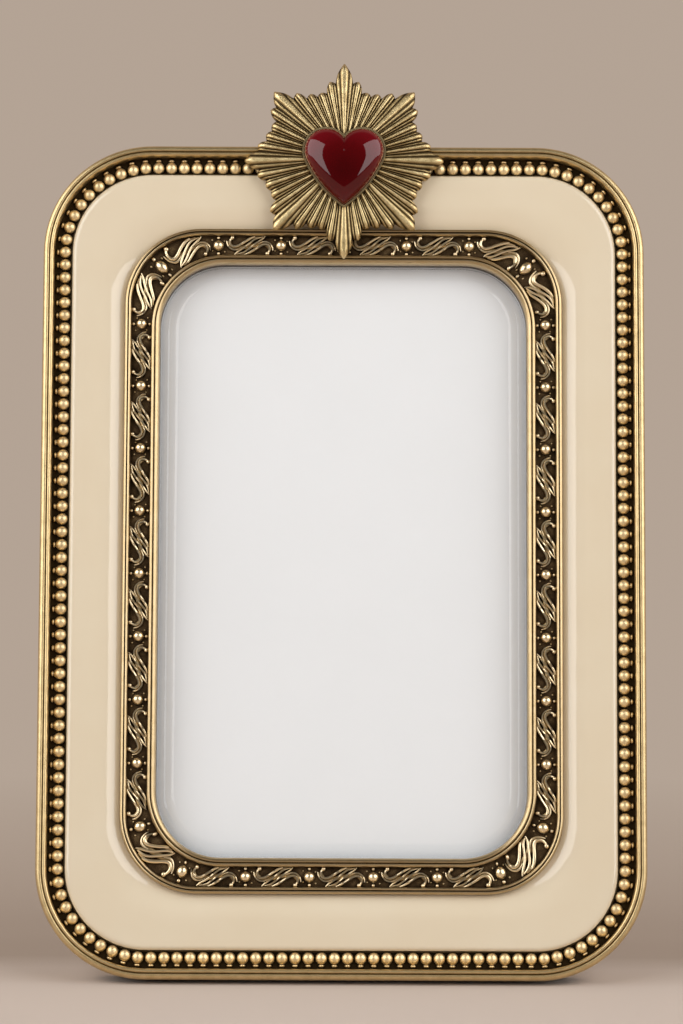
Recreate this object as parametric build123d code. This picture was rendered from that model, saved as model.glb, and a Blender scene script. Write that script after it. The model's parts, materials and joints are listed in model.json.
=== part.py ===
from build123d import *
import os
from math import cos, pi, radians, sin

# A standing picture frame for a 101.6 by 152.4 mm print: a cast brass border with a cream enamel
# field, a beaded edge, a scroll band round the window, and a sunburst with a heart stone on top.
# It is drawn lying on its back: X to the right, Y up the frame, Z towards the viewer, with Z zero
# at the rear face of the border and Y zero at the foot of it. It is stood up at the end, leaning
# back on its easel leg, with Z up and the front towards -Y.

# Print that it holds, and the borders round it from the window to the outside
PRINT_WIDTH = 101.6
PRINT_HEIGHT = 152.4
PRINT_PLAY = 1.0
PRINT_COVER_SIDE = 5.25
PRINT_COVER_END = 2.4
SIGHT_RADIUS = 16.0
BAND_WIDTH = 8.8
BAND_OUTER_RADIUS = 19.0
BORDER_SIDE = 20.4
BORDER_END = 20.9
OUTER_RADIUS = 27.0

# Cast border
SHELL_DEPTH = 8.4
SHELL_INSET = 0.4
SHELL_WALL = 3.0
WEB_THICKNESS = 2.2
REBATE_WALL = 2.4
REBATE_RADIUS = 1.5
FENCE_WIDTH = 0.35
FENCE_HEIGHT = 1.1
STAR_PAD_WIDTH = 17.0
STAR_PAD_HEIGHT = 9.0
STAR_PAD_RADIUS = 1.5

# Rim moulding with its groove
RIM_WIDTH = 2.7
RIM_HEIGHT = 3.6
RIM_OUTER_ROUND = 1.3
RIM_INNER_BEVEL = 0.5
RIM_GROOVE_WIDTH = 0.5
RIM_GROOVE_DEPTH = 0.6
RIM_GROOVE_INSET = 1.45

# Pearl beads
BEAD_CHANNEL_WIDTH = 4.15
BEAD_LENGTH = 2.35
BEAD_WIDTH = 3.3
BEAD_PITCH = 3.2
BEAD_SINK = 0.4

# Enamel field
ENAMEL_EDGE_HEIGHT = 1.2
ENAMEL_SHOULDER_WIDTH = 2.2
ENAMEL_SHOULDER_HEIGHT = 1.9
ENAMEL_CREST_WIDTH = 8.0
ENAMEL_CREST_HEIGHT = 2.3
ENAMEL_INNER_HEIGHT = 1.5

# Scroll band
OUTER_RAIL_WIDTH = 1.7
INNER_RAIL_WIDTH = 2.2
RAIL_HEIGHT = 2.7
RAIL_ROUND = 0.4
RAIL_GROOVE_WIDTH = 0.3
RAIL_GROOVE_DEPTH = 0.35
BAND_BASE_THICKNESS = 0.9
SCROLL_PITCH = 15.6
SCROLL_LENGTH = 10.8
SCROLL_STRAND = 0.85
SCROLL_HEIGHT = 1.1
SCROLL_HOOK_RADIUS = 1.35
SCROLL_HOOK_START = 30.0
SCROLL_HOOK_TURN = 225.0
STUD_RADIUS = 1.15
STUD_HEIGHT = 1.5

# Starburst
STAR_BELOW_TOP = 4.1
STAR_RADIUS = 24.9
STAR_POINTS = 8
STAR_MAIN_SPREAD = 12.5
STAR_MINOR_SHARES = (0.85, 0.765, 0.765, 0.85)
STAR_VALLEY_SHARE = 0.93
STAR_HUB_RADIUS = 9.0
STAR_HUB_HEIGHT = 3.2
STAR_FLUTE_DEPTH = 0.55
STAR_TIP_HEIGHT = 1.5
STAR_VALLEY_HEIGHT = 0.9

# Heart stone in its bezel cup, a little below the middle of the starburst
HEART_BELOW_STAR = 0.8
HEART_LOBE_RADIUS = 5.5
HEART_LOBE_OUT = 4.45
HEART_LOBE_UP = 2.9
HEART_TIP_DOWN = 11.0
HEART_FLANK_ANGLE = 22.0
HEART_GIRDLE = 1.0
HEART_CROWN = 4.6
HEART_CROWN_RADIUS = 17.0
BEZEL_WALL = 0.45
BEZEL_FLOOR = 0.6
BEZEL_SINK = 1.3
BEZEL_PROUD = 0.7

# Glass, print and filler behind the window
GLASS_FLANGE = 1.4
GLASS_CROWN = 2.4
GLASS_ROUND = 1.9
GLASS_PLAY = 0.5
GLASS_EDGE_PLAY = 0.2
CARD_THICKNESS = 0.3
FILLER_THICKNESS = 4.2

# Rear closing plate
PLATE_THICKNESS = 1.0
PLATE_INSET = 2.0
PLATE_PLAY = 0.1
PLATE_SCREW_ROWS = 3

# Screws with flat heads
SCREW_RADIUS = 1.25
SCREW_LENGTH = 5.0
SCREW_HEAD_RADIUS = 2.3
SCREW_HEAD_HEIGHT = 0.8
SCREW_SLOT_WIDTH = 0.6
SCREW_SLOT_DEPTH = 0.4
SCREW_PLAY = 0.05
BOSS_RADIUS = 3.2
STAR_SCREW_SPACING = 10.0
STAR_SCREW_BITE = 1.3

# Slide rails for the back panel
RAIL_SHEET = 0.8
RAIL_LIP = 3.0
RAIL_FOOT = 6.0
RIVET_RADIUS = 0.9
RIVET_HEAD_RADIUS = 1.7
RIVET_HEAD_HEIGHT = 0.5
RIVET_PLAY = 0.03
RIVET_TAIL = 0.5
RAIL_RIVETS = 4
STOP_RIVETS = 3

# Velvet-covered back panel
PANEL_OVERLAP = 4.2
PANEL_THICKNESS = 2.0
PANEL_GAP = 0.2
PANEL_PLAY = 0.3
PANEL_STOP_GAP = 0.1
PANEL_RADIUS = 2.0
VELVET_THICKNESS = 0.5

# Easel leg and its hinge
LEAN = 12.0
LEG_ANGLE = 22.5
HINGE_HEIGHT = 130.0
LEG_TOP_WIDTH = 33.0
LEG_FOOT_WIDTH = 52.0
LEG_THICKNESS = 2.4
LEG_STOP_GAP = 0.1
HINGE_WIDTH = 20.0
HINGE_LEAF = 14.0
HINGE_SHEET = 0.8
KNUCKLE_RADIUS = 1.6
KNUCKLE_WIDTH = 5.0
KNUCKLE_GAP = 0.2
KNUCKLE_LIFT = 0.1
PIN_RADIUS = 0.8
PIN_PLAY = 0.05
HINGE_RIVET_OUT = 6.5
HINGE_RIVET_ROW = 5.0
HINGE_RIVET_EDGE = 3.0

# Flat ground on the foot of the border where it stands, and the reach of every cutting tool
STANDING_FLAT = 3.0
CUT = 1.0

# Outlines as width, height and corner radius
SIGHT = (PRINT_WIDTH - 2 * PRINT_COVER_SIDE, PRINT_HEIGHT - 2 * PRINT_COVER_END, SIGHT_RADIUS)
BAND_OUTER = (SIGHT[0] + 2 * BAND_WIDTH, SIGHT[1] + 2 * BAND_WIDTH, BAND_OUTER_RADIUS)
OUTER = (BAND_OUTER[0] + 2 * BORDER_SIDE, BAND_OUTER[1] + 2 * BORDER_END, OUTER_RADIUS)


def inset(outline, amount):
    """The same outline drawn in by an amount all round, or out where the amount is negative."""
    width, height, radius = outline
    return width - 2 * amount, height - 2 * amount, radius - amount


# Heights and depths that follow from the sizes above
MIDDLE = OUTER[1] / 2
FLOOR = SHELL_DEPTH
RIM_FRONT = FLOOR + RIM_HEIGHT
REBATE = (PRINT_WIDTH + PRINT_PLAY, PRINT_HEIGHT + PRINT_PLAY, REBATE_RADIUS)
REBATE_FRONT = SHELL_DEPTH - WEB_THICKNESS
ENAMEL_OUTER = inset(OUTER, RIM_WIDTH + BEAD_CHANNEL_WIDTH)
STAR_MIDDLE = OUTER[1] - STAR_BELOW_TOP
HEART_MIDDLE = STAR_MIDDLE - HEART_BELOW_STAR
STAR_BACK = RIM_FRONT
PAD_MIDDLE = MIDDLE + (BAND_OUTER[1] + ENAMEL_OUTER[1]) / 4
VELVET_BACK = -(PANEL_GAP + PANEL_THICKNESS + VELVET_THICKNESS)
AXIS_DEPTH = VELVET_BACK - KNUCKLE_LIFT - KNUCKLE_RADIUS
PANEL = (REBATE[0] + 2 * PANEL_OVERLAP, REBATE[1] + 2 * PANEL_OVERLAP, PANEL_RADIUS)
PANEL_FOOT = MIDDLE - PANEL[1] / 2
LEG_REACH = HINGE_HEIGHT + 2 * LEG_THICKNESS


def slab(outline, bottom, top):
    """A plate of an outline, centred on the border, between two heights."""
    return Pos(0, MIDDLE, bottom) * extrude(RectangleRounded(*outline), top - bottom)


def ring(outer, inner, bottom, top):
    """A ring between two outlines, centred on the border, between two heights."""
    face = RectangleRounded(*outer) - RectangleRounded(*inner)
    return Pos(0, MIDDLE, bottom) * extrude(face, top - bottom)


def block(low, high):
    """A square-edged block between two corners."""
    size = [b - a for a, b in zip(low, high)]
    middle = [(a + b) / 2 for a, b in zip(low, high)]
    return Pos(*middle) * Box(*size)


def rod(place, radius, bottom, top):
    """An upright round rod at a place in the plan, between two heights."""
    x, y = place
    return Pos(x, y, (bottom + top) / 2) * Cylinder(radius, top - bottom)


def bar(radius, left, right):
    """A round rod along the hinge axis, between two places across the frame."""
    middle = ((left + right) / 2, HINGE_HEIGHT, AXIS_DEPTH)
    return Pos(*middle) * Rot(0, 90, 0) * Cylinder(radius, right - left)


def upper_edges(part, height):
    """The edges of a part that lie flat at one height."""
    return part.edges().filter_by_position(Axis.Z, height, height)


def walk(outline, distance):
    """The point and heading at a distance along an outline, anticlockwise from its foot."""
    width, height, radius = outline
    across = width / 2 - radius
    up = height - 2 * radius
    bend = radius * pi / 2
    x, y, heading = 0, MIDDLE - height / 2, 0
    runs = (across, bend, up, bend, 2 * across, bend, up, bend, across)
    for number, length in enumerate(runs):
        step = min(distance, length)
        distance -= step
        if number % 2:
            turned = heading + step / radius
            x += radius * (sin(turned) - sin(heading))
            y += radius * (cos(heading) - cos(turned))
            heading = turned
        else:
            x += step * cos(heading)
            y += step * sin(heading)
    return x, y, heading


def spaced(outline, pitch, start_share):
    """Evenly spaced places round an outline, as near to a pitch as a whole number gives."""
    width, height, radius = outline
    length = 2 * (width + height) - 8 * radius + 2 * pi * radius
    count = round(length / pitch)
    places = []
    for number in range(count):
        x, y, heading = walk(outline, (number + start_share) * length / count)
        places.append(Pos(x, y, 0) * Rot(0, 0, heading * 180 / pi))
    return places


def plate_screw_places():
    """Where the screws of the rear plate stand: outside the side rails, and one below the bottom rail."""
    hollow_side = OUTER[0] / 2 - SHELL_INSET - SHELL_WALL
    hollow_foot = SHELL_INSET + SHELL_WALL
    rail_side = PANEL[0] / 2 + PANEL_PLAY + RAIL_SHEET + RAIL_FOOT
    rail_foot = PANEL_FOOT - PANEL_STOP_GAP - RAIL_SHEET - RAIL_FOOT
    x = (hollow_side + rail_side) / 2
    reach = OUTER[1] - 2 * OUTER_RADIUS
    places = [(0, (hollow_foot + rail_foot) / 2)]
    for row in range(PLATE_SCREW_ROWS):
        y = MIDDLE - reach / 2 + row * reach / (PLATE_SCREW_ROWS - 1)
        places += [(-x, y), (x, y)]
    return places


def star_screw_places():
    """Where the two screws of the starburst stand, side by side in its pad."""
    half = STAR_SCREW_SPACING / 2
    return [(-half, PAD_MIDDLE), (half, PAD_MIDDLE)]


def frame_shell():
    """The cast border: a tray with an outer wall, a web, and a wall round the picture rebate."""
    shell = slab(inset(OUTER, SHELL_INSET), 0, FLOOR)
    hollow = inset(OUTER, SHELL_INSET + SHELL_WALL)
    island = inset(REBATE, -REBATE_WALL)
    shell -= ring(hollow, island, -CUT, REBATE_FRONT)
    for place in plate_screw_places() + star_screw_places():
        shell += rod(place, BOSS_RADIUS, PLATE_THICKNESS, REBATE_FRONT + CUT)
    shell -= slab(inset(OUTER, SHELL_INSET + PLATE_INSET), -CUT, PLATE_THICKNESS)
    shell -= slab(REBATE, -CUT, REBATE_FRONT)
    shell -= slab(SIGHT, -CUT, FLOOR + CUT)
    shell += ring(ENAMEL_OUTER, inset(ENAMEL_OUTER, FENCE_WIDTH), FLOOR - CUT, FLOOR + FENCE_HEIGHT)
    pad = RectangleRounded(STAR_PAD_WIDTH, STAR_PAD_HEIGHT, STAR_PAD_RADIUS)
    shell += Pos(0, PAD_MIDDLE, FLOOR - CUT) * extrude(pad, STAR_BACK - FLOOR + CUT)
    for place in plate_screw_places():
        shell -= rod(place, SCREW_RADIUS + SCREW_PLAY, 0, SCREW_LENGTH + SCREW_HEAD_HEIGHT)
    for place in star_screw_places():
        shell -= rod(place, SCREW_RADIUS + SCREW_PLAY, 0, STAR_BACK + CUT)
        shell -= rod(place, SCREW_HEAD_RADIUS + SCREW_PLAY, 0, PLATE_THICKNESS + SCREW_HEAD_HEIGHT)
    return shell


def moulding(outer, inner, top, edge_round):
    """A rounded moulding that stands on the web and holds two outlines apart."""
    strip = ring(outer, inner, FLOOR, top)
    return fillet(upper_edges(strip, top), edge_round)


def rim_moulding():
    """The reeded wire round the outside, standing over the wall of the border."""
    inner = inset(OUTER, RIM_WIDTH)
    blank = slab(OUTER, FLOOR, RIM_FRONT)
    blank = fillet(upper_edges(blank, RIM_FRONT), RIM_OUTER_ROUND)
    strip = blank - slab(inner, FLOOR - CUT, RIM_FRONT + CUT)
    bevel = [Pos(0, MIDDLE, RIM_FRONT - RIM_INNER_BEVEL) * RectangleRounded(*inner),
             Pos(0, MIDDLE, RIM_FRONT) * RectangleRounded(*inset(inner, -RIM_INNER_BEVEL))]
    strip -= loft(bevel, ruled=True)
    groove = inset(OUTER, RIM_GROOVE_INSET)
    bottom = RIM_FRONT - RIM_GROOVE_DEPTH
    return strip - ring(groove, inset(groove, RIM_GROOVE_WIDTH), bottom, RIM_FRONT + CUT)


def bead_border():
    """The pearl border: egg-shaped beads soldered side by side in their channel."""
    half_length = BEAD_LENGTH / 2
    half_width = BEAD_WIDTH / 2
    upper_half = Pos(0, half_length / 2) * Rectangle(BEAD_WIDTH, half_length)
    face = Ellipse(half_width, half_length) & upper_half
    egg = revolve(face, Axis.X, 360)
    egg = Pos(0, 0, half_length - BEAD_SINK) * Rot(0, 0, 90) * egg
    egg = split(egg, Plane.XY, keep=Keep.TOP)
    line = inset(OUTER, RIM_WIDTH + BEAD_CHANNEL_WIDTH - half_width)
    return [Pos(0, 0, FLOOR) * place * egg for place in spaced(line, BEAD_PITCH, 1 / 2)]


def enamel_field():
    """The cream enamel: a gently domed ring fired between the fence and the scroll band."""
    outer = inset(ENAMEL_OUTER, FENCE_WIDTH)
    levels = ((0, 0), (0, ENAMEL_EDGE_HEIGHT), (ENAMEL_SHOULDER_WIDTH, ENAMEL_SHOULDER_HEIGHT),
              (ENAMEL_CREST_WIDTH, ENAMEL_CREST_HEIGHT))
    pillow = [Pos(0, MIDDLE, FLOOR + up) * RectangleRounded(*inset(outer, width)) for width, up in levels]
    crest = inset(outer, ENAMEL_CREST_WIDTH)
    dish = [Pos(0, MIDDLE, FLOOR + ENAMEL_INNER_HEIGHT) * RectangleRounded(*BAND_OUTER),
            Pos(0, MIDDLE, FLOOR + ENAMEL_CREST_HEIGHT) * RectangleRounded(*crest)]
    enamel = loft(pillow, ruled=True) - loft(dish, ruled=True)
    enamel -= slab(BAND_OUTER, FLOOR - CUT, FLOOR + ENAMEL_CREST_HEIGHT + CUT)
    pad = RectangleRounded(STAR_PAD_WIDTH, STAR_PAD_HEIGHT, STAR_PAD_RADIUS)
    return enamel - Pos(0, PAD_MIDDLE, FLOOR - CUT) * extrude(pad, ENAMEL_CREST_HEIGHT + 2 * CUT)


def grooved_rail(outer, width):
    """A rail of the scroll band, with a fine groove along its top that makes a double line."""
    top = FLOOR + RAIL_HEIGHT
    rail = moulding(outer, inset(outer, width), top, RAIL_ROUND)
    groove = inset(outer, (width - RAIL_GROOVE_WIDTH) / 2)
    cutter = ring(groove, inset(groove, RAIL_GROOVE_WIDTH), top - RAIL_GROOVE_DEPTH, top + CUT)
    return rail - cutter


def band_outer_rail():
    """The rail between the enamel and the scrolls."""
    return grooved_rail(BAND_OUTER, OUTER_RAIL_WIDTH)


def band_inner_rail():
    """The rail that frames the window."""
    return grooved_rail(inset(SIGHT, -INNER_RAIL_WIDTH), INNER_RAIL_WIDTH)


def channel_outlines():
    """The outer and inner outlines of the channel that holds the scrolls."""
    return inset(BAND_OUTER, OUTER_RAIL_WIDTH), inset(SIGHT, -INNER_RAIL_WIDTH)


def channel_line():
    """The line midway along the scroll channel."""
    outer, inner = channel_outlines()
    return tuple((a + b) / 2 for a, b in zip(outer, inner))


def scroll_band_base():
    """The patinated strip that the scrolls stand on, between the two rails."""
    outer, inner = channel_outlines()
    return ring(outer, inner, FLOOR, FLOOR + BAND_BASE_THICKNESS)


def scroll_ornaments():
    """The S-scrolls: a hook open to the window, a slanting stem, and a hook open outwards."""
    out = SCROLL_LENGTH / 2 - SCROLL_HOOK_RADIUS - SCROLL_STRAND / 2
    hook = CenterArc((-out, 0), SCROLL_HOOK_RADIUS, SCROLL_HOOK_START, SCROLL_HOOK_TURN)
    end = hook @ 1
    stem = Line((end.X, end.Y), (-end.X, -end.Y))
    other = mirror(mirror(hook, Plane.YZ), Plane.XZ)
    shape = trace(hook + stem + other, SCROLL_STRAND)
    scroll = extrude(shape, SCROLL_HEIGHT)
    places = spaced(channel_line(), SCROLL_PITCH, 0)
    return [Pos(0, 0, FLOOR + BAND_BASE_THICKNESS) * place * scroll for place in places]


def scroll_studs():
    """The round studs between the scrolls."""
    crown = (STUD_RADIUS ** 2 + STUD_HEIGHT ** 2) / (2 * STUD_HEIGHT)
    ball = Pos(0, 0, STUD_HEIGHT - crown) * Sphere(crown)
    stud = ball & Pos(0, 0, STUD_HEIGHT / 2) * Cylinder(STUD_RADIUS, STUD_HEIGHT)
    places = spaced(channel_line(), SCROLL_PITCH, 1 / 2)
    return [Pos(0, 0, FLOOR + BAND_BASE_THICKNESS) * place * stud for place in places]


def star_outline():
    """The corners of the starburst: bearing, radius and whether each is the tip of a ray."""
    sector = 360 / STAR_POINTS
    minor_spread = (sector - STAR_MAIN_SPREAD) / len(STAR_MINOR_SHARES)
    rays = []
    for point in range(STAR_POINTS):
        bearing = 90 + point * sector
        rays.append((bearing, STAR_MAIN_SPREAD, STAR_RADIUS))
        bearing += (STAR_MAIN_SPREAD - minor_spread) / 2
        for share in STAR_MINOR_SHARES:
            bearing += minor_spread
            rays.append((bearing, minor_spread, STAR_RADIUS * share))
    corners = []
    for number, (bearing, spread, radius) in enumerate(rays):
        following = rays[(number + 1) % len(rays)][2]
        corners.append((bearing, radius, True))
        corners.append((bearing + spread / 2, min(radius, following) * STAR_VALLEY_SHARE, False))
    return corners


def polar(bearing, radius, height):
    """A point of the starburst, from its middle."""
    angle = radians(bearing)
    return Vector(radius * cos(angle), radius * sin(angle), height)


def flat_face(*corners):
    """A flat face through its corners."""
    return Face(Wire.make_polygon(corners, close=True))


def fluted_star():
    """The body of the starburst: fluted rays that fall from a round hub to their tips."""
    low, high, hub = [], [], []
    for bearing, radius, is_tip in star_outline():
        low.append(polar(bearing, radius, 0))
        high.append(polar(bearing, radius, STAR_TIP_HEIGHT if is_tip else STAR_VALLEY_HEIGHT))
        hub_height = STAR_HUB_HEIGHT if is_tip else STAR_HUB_HEIGHT - STAR_FLUTE_DEPTH
        hub.append(polar(bearing, STAR_HUB_RADIUS, hub_height))
    middle = Vector(0, 0, STAR_HUB_HEIGHT)
    faces = [flat_face(*low)]
    for this in range(len(low)):
        after = (this + 1) % len(low)
        faces.append(flat_face(low[this], low[after], high[after], high[this]))
        faces.append(flat_face(high[this], high[after], hub[this]))
        faces.append(flat_face(high[after], hub[after], hub[this]))
        faces.append(flat_face(hub[this], hub[after], middle))
    return Solid(Shell(faces))


def heart_face():
    """The outline of the heart stone, about its own middle."""
    lobe = Vector(HEART_LOBE_OUT, HEART_LOBE_UP)
    notch_up = HEART_LOBE_UP + (HEART_LOBE_RADIUS ** 2 - HEART_LOBE_OUT ** 2) ** 0.5
    crown = lobe + Vector(0, HEART_LOBE_RADIUS)
    angle = radians(-HEART_FLANK_ANGLE)
    hip = lobe + Vector(cos(angle), sin(angle)) * HEART_LOBE_RADIUS
    tip = Vector(0, -HEART_TIP_DOWN)
    upper = ThreePointArc((0, notch_up), crown, hip)
    flank = TangentArc(hip, tip, tangent=(sin(angle), -cos(angle)))
    half = Curve() + [upper, flank]
    return make_face(half + mirror(half, Plane.YZ))


def heart_prism(grow, bottom, top):
    """A heart-shaped block in its place on the starburst, larger by an amount all round."""
    face = offset(heart_face(), grow) if grow else heart_face()
    return Pos(0, HEART_MIDDLE, bottom) * extrude(face, top - bottom)


BEZEL_BOTTOM = STAR_BACK + STAR_HUB_HEIGHT - BEZEL_SINK
STONE_BOTTOM = BEZEL_BOTTOM + BEZEL_FLOOR
BEZEL_TOP = STAR_BACK + STAR_HUB_HEIGHT + BEZEL_PROUD


def starburst():
    """The cast starburst, with a pocket for the bezel and threaded holes for its screws."""
    star = Pos(0, STAR_MIDDLE, STAR_BACK) * fluted_star()
    star -= heart_prism(BEZEL_WALL, BEZEL_BOTTOM, BEZEL_TOP + CUT)
    for place in star_screw_places():
        star -= rod(place, SCREW_RADIUS + SCREW_PLAY, STAR_BACK - CUT, STAR_BACK + STAR_SCREW_BITE)
    return star


def heart_bezel():
    """The thin cup that holds the stone."""
    cup = heart_prism(BEZEL_WALL, BEZEL_BOTTOM, BEZEL_TOP)
    return cup - heart_prism(0, STONE_BOTTOM, BEZEL_TOP + CUT)


def heart_stone():
    """The heart cabochon with its domed crown."""
    top = STONE_BOTTOM + HEART_GIRDLE + HEART_CROWN
    stone = heart_prism(0, STONE_BOTTOM, top)
    ball = Pos(0, HEART_MIDDLE, top - HEART_CROWN_RADIUS) * Sphere(HEART_CROWN_RADIUS)
    return stone & ball


def screw(place, head_back, length):
    """A slotted screw that points to the front, with its flat head at the back."""
    body = rod(place, SCREW_HEAD_RADIUS, head_back, head_back + SCREW_HEAD_HEIGHT)
    body += rod(place, SCREW_RADIUS, head_back, head_back + SCREW_HEAD_HEIGHT + length)
    x, y = place
    reach = SCREW_HEAD_RADIUS + CUT
    low = (x - reach, y - SCREW_SLOT_WIDTH / 2, head_back - CUT)
    high = (x + reach, y + SCREW_SLOT_WIDTH / 2, head_back + SCREW_SLOT_DEPTH)
    return body - block(low, high)


def starburst_screws():
    """The two screws that hold the starburst from behind, under the rear plate."""
    length = STAR_BACK + STAR_SCREW_BITE - SCREW_PLAY - PLATE_THICKNESS - SCREW_HEAD_HEIGHT
    return [screw(place, PLATE_THICKNESS, length) for place in star_screw_places()]


def rear_plate_screws():
    """The screws that hold the rear plate to the bosses of the border."""
    depth = SCREW_LENGTH + SCREW_HEAD_HEIGHT - SCREW_PLAY
    head_back = PLATE_THICKNESS - SCREW_HEAD_HEIGHT
    return [screw(place, head_back, depth - head_back - SCREW_HEAD_HEIGHT) for place in plate_screw_places()]


def glass_pane():
    """The glass: a flat flange behind the window, and a field with round shoulders inside it."""
    back = REBATE_FRONT - GLASS_FLANGE
    flange = slab(inset(REBATE, GLASS_EDGE_PLAY), back, REBATE_FRONT)
    top = REBATE_FRONT + GLASS_CROWN
    field = slab(inset(SIGHT, GLASS_PLAY), back, top)
    field = fillet(upper_edges(field, top), GLASS_ROUND)
    return flange + field


def photo_card():
    """The blank card that stands for the print."""
    front = REBATE_FRONT - GLASS_FLANGE
    outline = (PRINT_WIDTH, PRINT_HEIGHT, REBATE_RADIUS - PRINT_PLAY / 2)
    return slab(outline, front - CARD_THICKNESS, front)


def filler_board():
    """The light board that packs out the space between the print and the back panel."""
    front = REBATE_FRONT - GLASS_FLANGE - CARD_THICKNESS
    outline = (PRINT_WIDTH, PRINT_HEIGHT, REBATE_RADIUS - PRINT_PLAY / 2)
    return slab(outline, front - FILLER_THICKNESS, front)


def rail_rivet_places():
    """Where the rivets of the side rails and the bottom rail stand."""
    x = PANEL[0] / 2 + PANEL_PLAY + RAIL_SHEET + RAIL_FOOT / 2
    places = []
    for number in range(RAIL_RIVETS):
        y = PANEL_FOOT + (number + 1 / 2) * PANEL[1] / RAIL_RIVETS
        places += [(-x, y), (x, y)]
    y = PANEL_FOOT - PANEL_STOP_GAP - RAIL_SHEET - RAIL_FOOT / 2
    for number in range(STOP_RIVETS):
        places.append((-PANEL[0] / 2 + (number + 1 / 2) * PANEL[0] / STOP_RIVETS, y))
    return places


def rear_plate():
    """The flat brass plate that closes the hollow of the border and carries the slide rails."""
    outer = inset(OUTER, SHELL_INSET + PLATE_INSET + PLATE_PLAY)
    plate = ring(outer, REBATE, 0, PLATE_THICKNESS)
    for place in plate_screw_places():
        plate -= rod(place, SCREW_HEAD_RADIUS + SCREW_PLAY, -CUT, PLATE_THICKNESS + CUT)
    for place in rail_rivet_places():
        plate -= rod(place, RIVET_RADIUS + RIVET_PLAY, -CUT, PLATE_THICKNESS + CUT)
    return plate


def rivet(place, head_back, head_front, tail):
    """A round-headed rivet that points to the front, with its head behind the sheet it holds."""
    head = rod(place, RIVET_HEAD_RADIUS, head_back, head_front)
    return head + rod(place, RIVET_RADIUS, head_back, tail)


LIP_FRONT = VELVET_BACK - PANEL_PLAY
LIP_BACK = LIP_FRONT - RAIL_SHEET


def side_rail(side):
    """One of the folded brass rails that the panel slides in: foot, wall and lip."""
    wall = PANEL[0] / 2 + PANEL_PLAY
    top = PANEL_FOOT + PANEL[1]
    rail = block((wall, PANEL_FOOT, LIP_BACK), (wall + RAIL_SHEET, top, 0))
    rail += block((wall, PANEL_FOOT, -RAIL_SHEET), (wall + RAIL_SHEET + RAIL_FOOT, top, 0))
    lip_in = wall - PANEL_PLAY - RAIL_LIP
    rail += block((lip_in, PANEL_FOOT, LIP_BACK), (wall + RAIL_SHEET, top, LIP_FRONT))
    for place in rail_rivet_places():
        if place[0] > wall:
            rail -= rod(place, RIVET_RADIUS + RIVET_PLAY, -RAIL_SHEET - CUT, CUT)
    return rail if side > 0 else mirror(rail, Plane.YZ)


def rail_left():
    """The slide rail on the left, seen from the front."""
    return side_rail(-1)


def rail_right():
    """The slide rail on the right, seen from the front."""
    return side_rail(1)


def rail_bottom():
    """The rail that the foot of the panel drops into."""
    half = PANEL[0] / 2 - RAIL_LIP - PANEL_PLAY
    wall = PANEL_FOOT - PANEL_STOP_GAP
    rail = block((-half, wall - RAIL_SHEET, LIP_BACK), (half, wall, 0))
    rail += block((-half, wall - RAIL_SHEET - RAIL_FOOT, -RAIL_SHEET), (half, wall, 0))
    rail += block((-half, wall - RAIL_SHEET, LIP_BACK), (half, wall + RAIL_LIP, LIP_FRONT))
    for place in rail_rivet_places():
        if place[1] < wall:
            rail -= rod(place, RIVET_RADIUS + RIVET_PLAY, -RAIL_SHEET - CUT, CUT)
    return rail


def rail_rivets():
    """The rivets that fasten the three rails to the rear plate."""
    back = -RAIL_SHEET - RIVET_HEAD_HEIGHT
    tail = PLATE_THICKNESS + RIVET_TAIL
    return [rivet(place, back, -RAIL_SHEET, tail) for place in rail_rivet_places()]


def leaf_rivet_places(side):
    """The rivets of one hinge leaf: above the axis with side 1, below it with side -1."""
    near = HINGE_LEAF - HINGE_RIVET_EDGE - HINGE_RIVET_ROW
    places = []
    for x in (-HINGE_RIVET_OUT, HINGE_RIVET_OUT):
        for reach in (near, near + HINGE_RIVET_ROW):
            places.append((x, HINGE_HEIGHT + side * reach))
    return places


def back_panel():
    """The board that closes the back and carries the easel leg."""
    panel = slab(PANEL, -PANEL_GAP - PANEL_THICKNESS, -PANEL_GAP)
    for place in leaf_rivet_places(1):
        panel -= rod(place, RIVET_RADIUS + RIVET_PLAY, VELVET_BACK, CUT)
    return panel


def back_velvet():
    """The velvet glued over the rear of the panel."""
    velvet = slab(PANEL, VELVET_BACK, VELVET_BACK + VELVET_THICKNESS)
    for place in leaf_rivet_places(1):
        velvet -= rod(place, RIVET_RADIUS + RIVET_PLAY, VELVET_BACK - CUT, 0)
    return velvet


def hinge_fixed_leaf():
    """The hinge leaf riveted to the panel, with the two outer knuckles."""
    half = HINGE_WIDTH / 2
    back = VELVET_BACK - HINGE_SHEET
    leaf = block((-half, HINGE_HEIGHT, back), (half, HINGE_HEIGHT + HINGE_LEAF, VELVET_BACK))
    leaf += bar(KNUCKLE_RADIUS, -half, -half + KNUCKLE_WIDTH)
    leaf += bar(KNUCKLE_RADIUS, half - KNUCKLE_WIDTH, half)
    inner = half - KNUCKLE_WIDTH
    swing = KNUCKLE_RADIUS + KNUCKLE_GAP
    leaf -= block((-inner, HINGE_HEIGHT - CUT, AXIS_DEPTH), (inner, HINGE_HEIGHT + swing, CUT))
    leaf -= bar(PIN_RADIUS + PIN_PLAY, -half - CUT, half + CUT)
    for place in leaf_rivet_places(1):
        leaf -= rod(place, RIVET_RADIUS + RIVET_PLAY, back - CUT, CUT)
    return leaf


def hinge_pin():
    """The steel pin, as long as the hinge is wide."""
    return bar(PIN_RADIUS, -HINGE_WIDTH / 2, HINGE_WIDTH / 2)


def fixed_leaf_rivets():
    """The rivets through the fixed leaf, the velvet and the panel."""
    front = VELVET_BACK - HINGE_SHEET
    return [rivet(place, front - RIVET_HEAD_HEIGHT, front, -PANEL_GAP) for place in leaf_rivet_places(1)]


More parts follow.
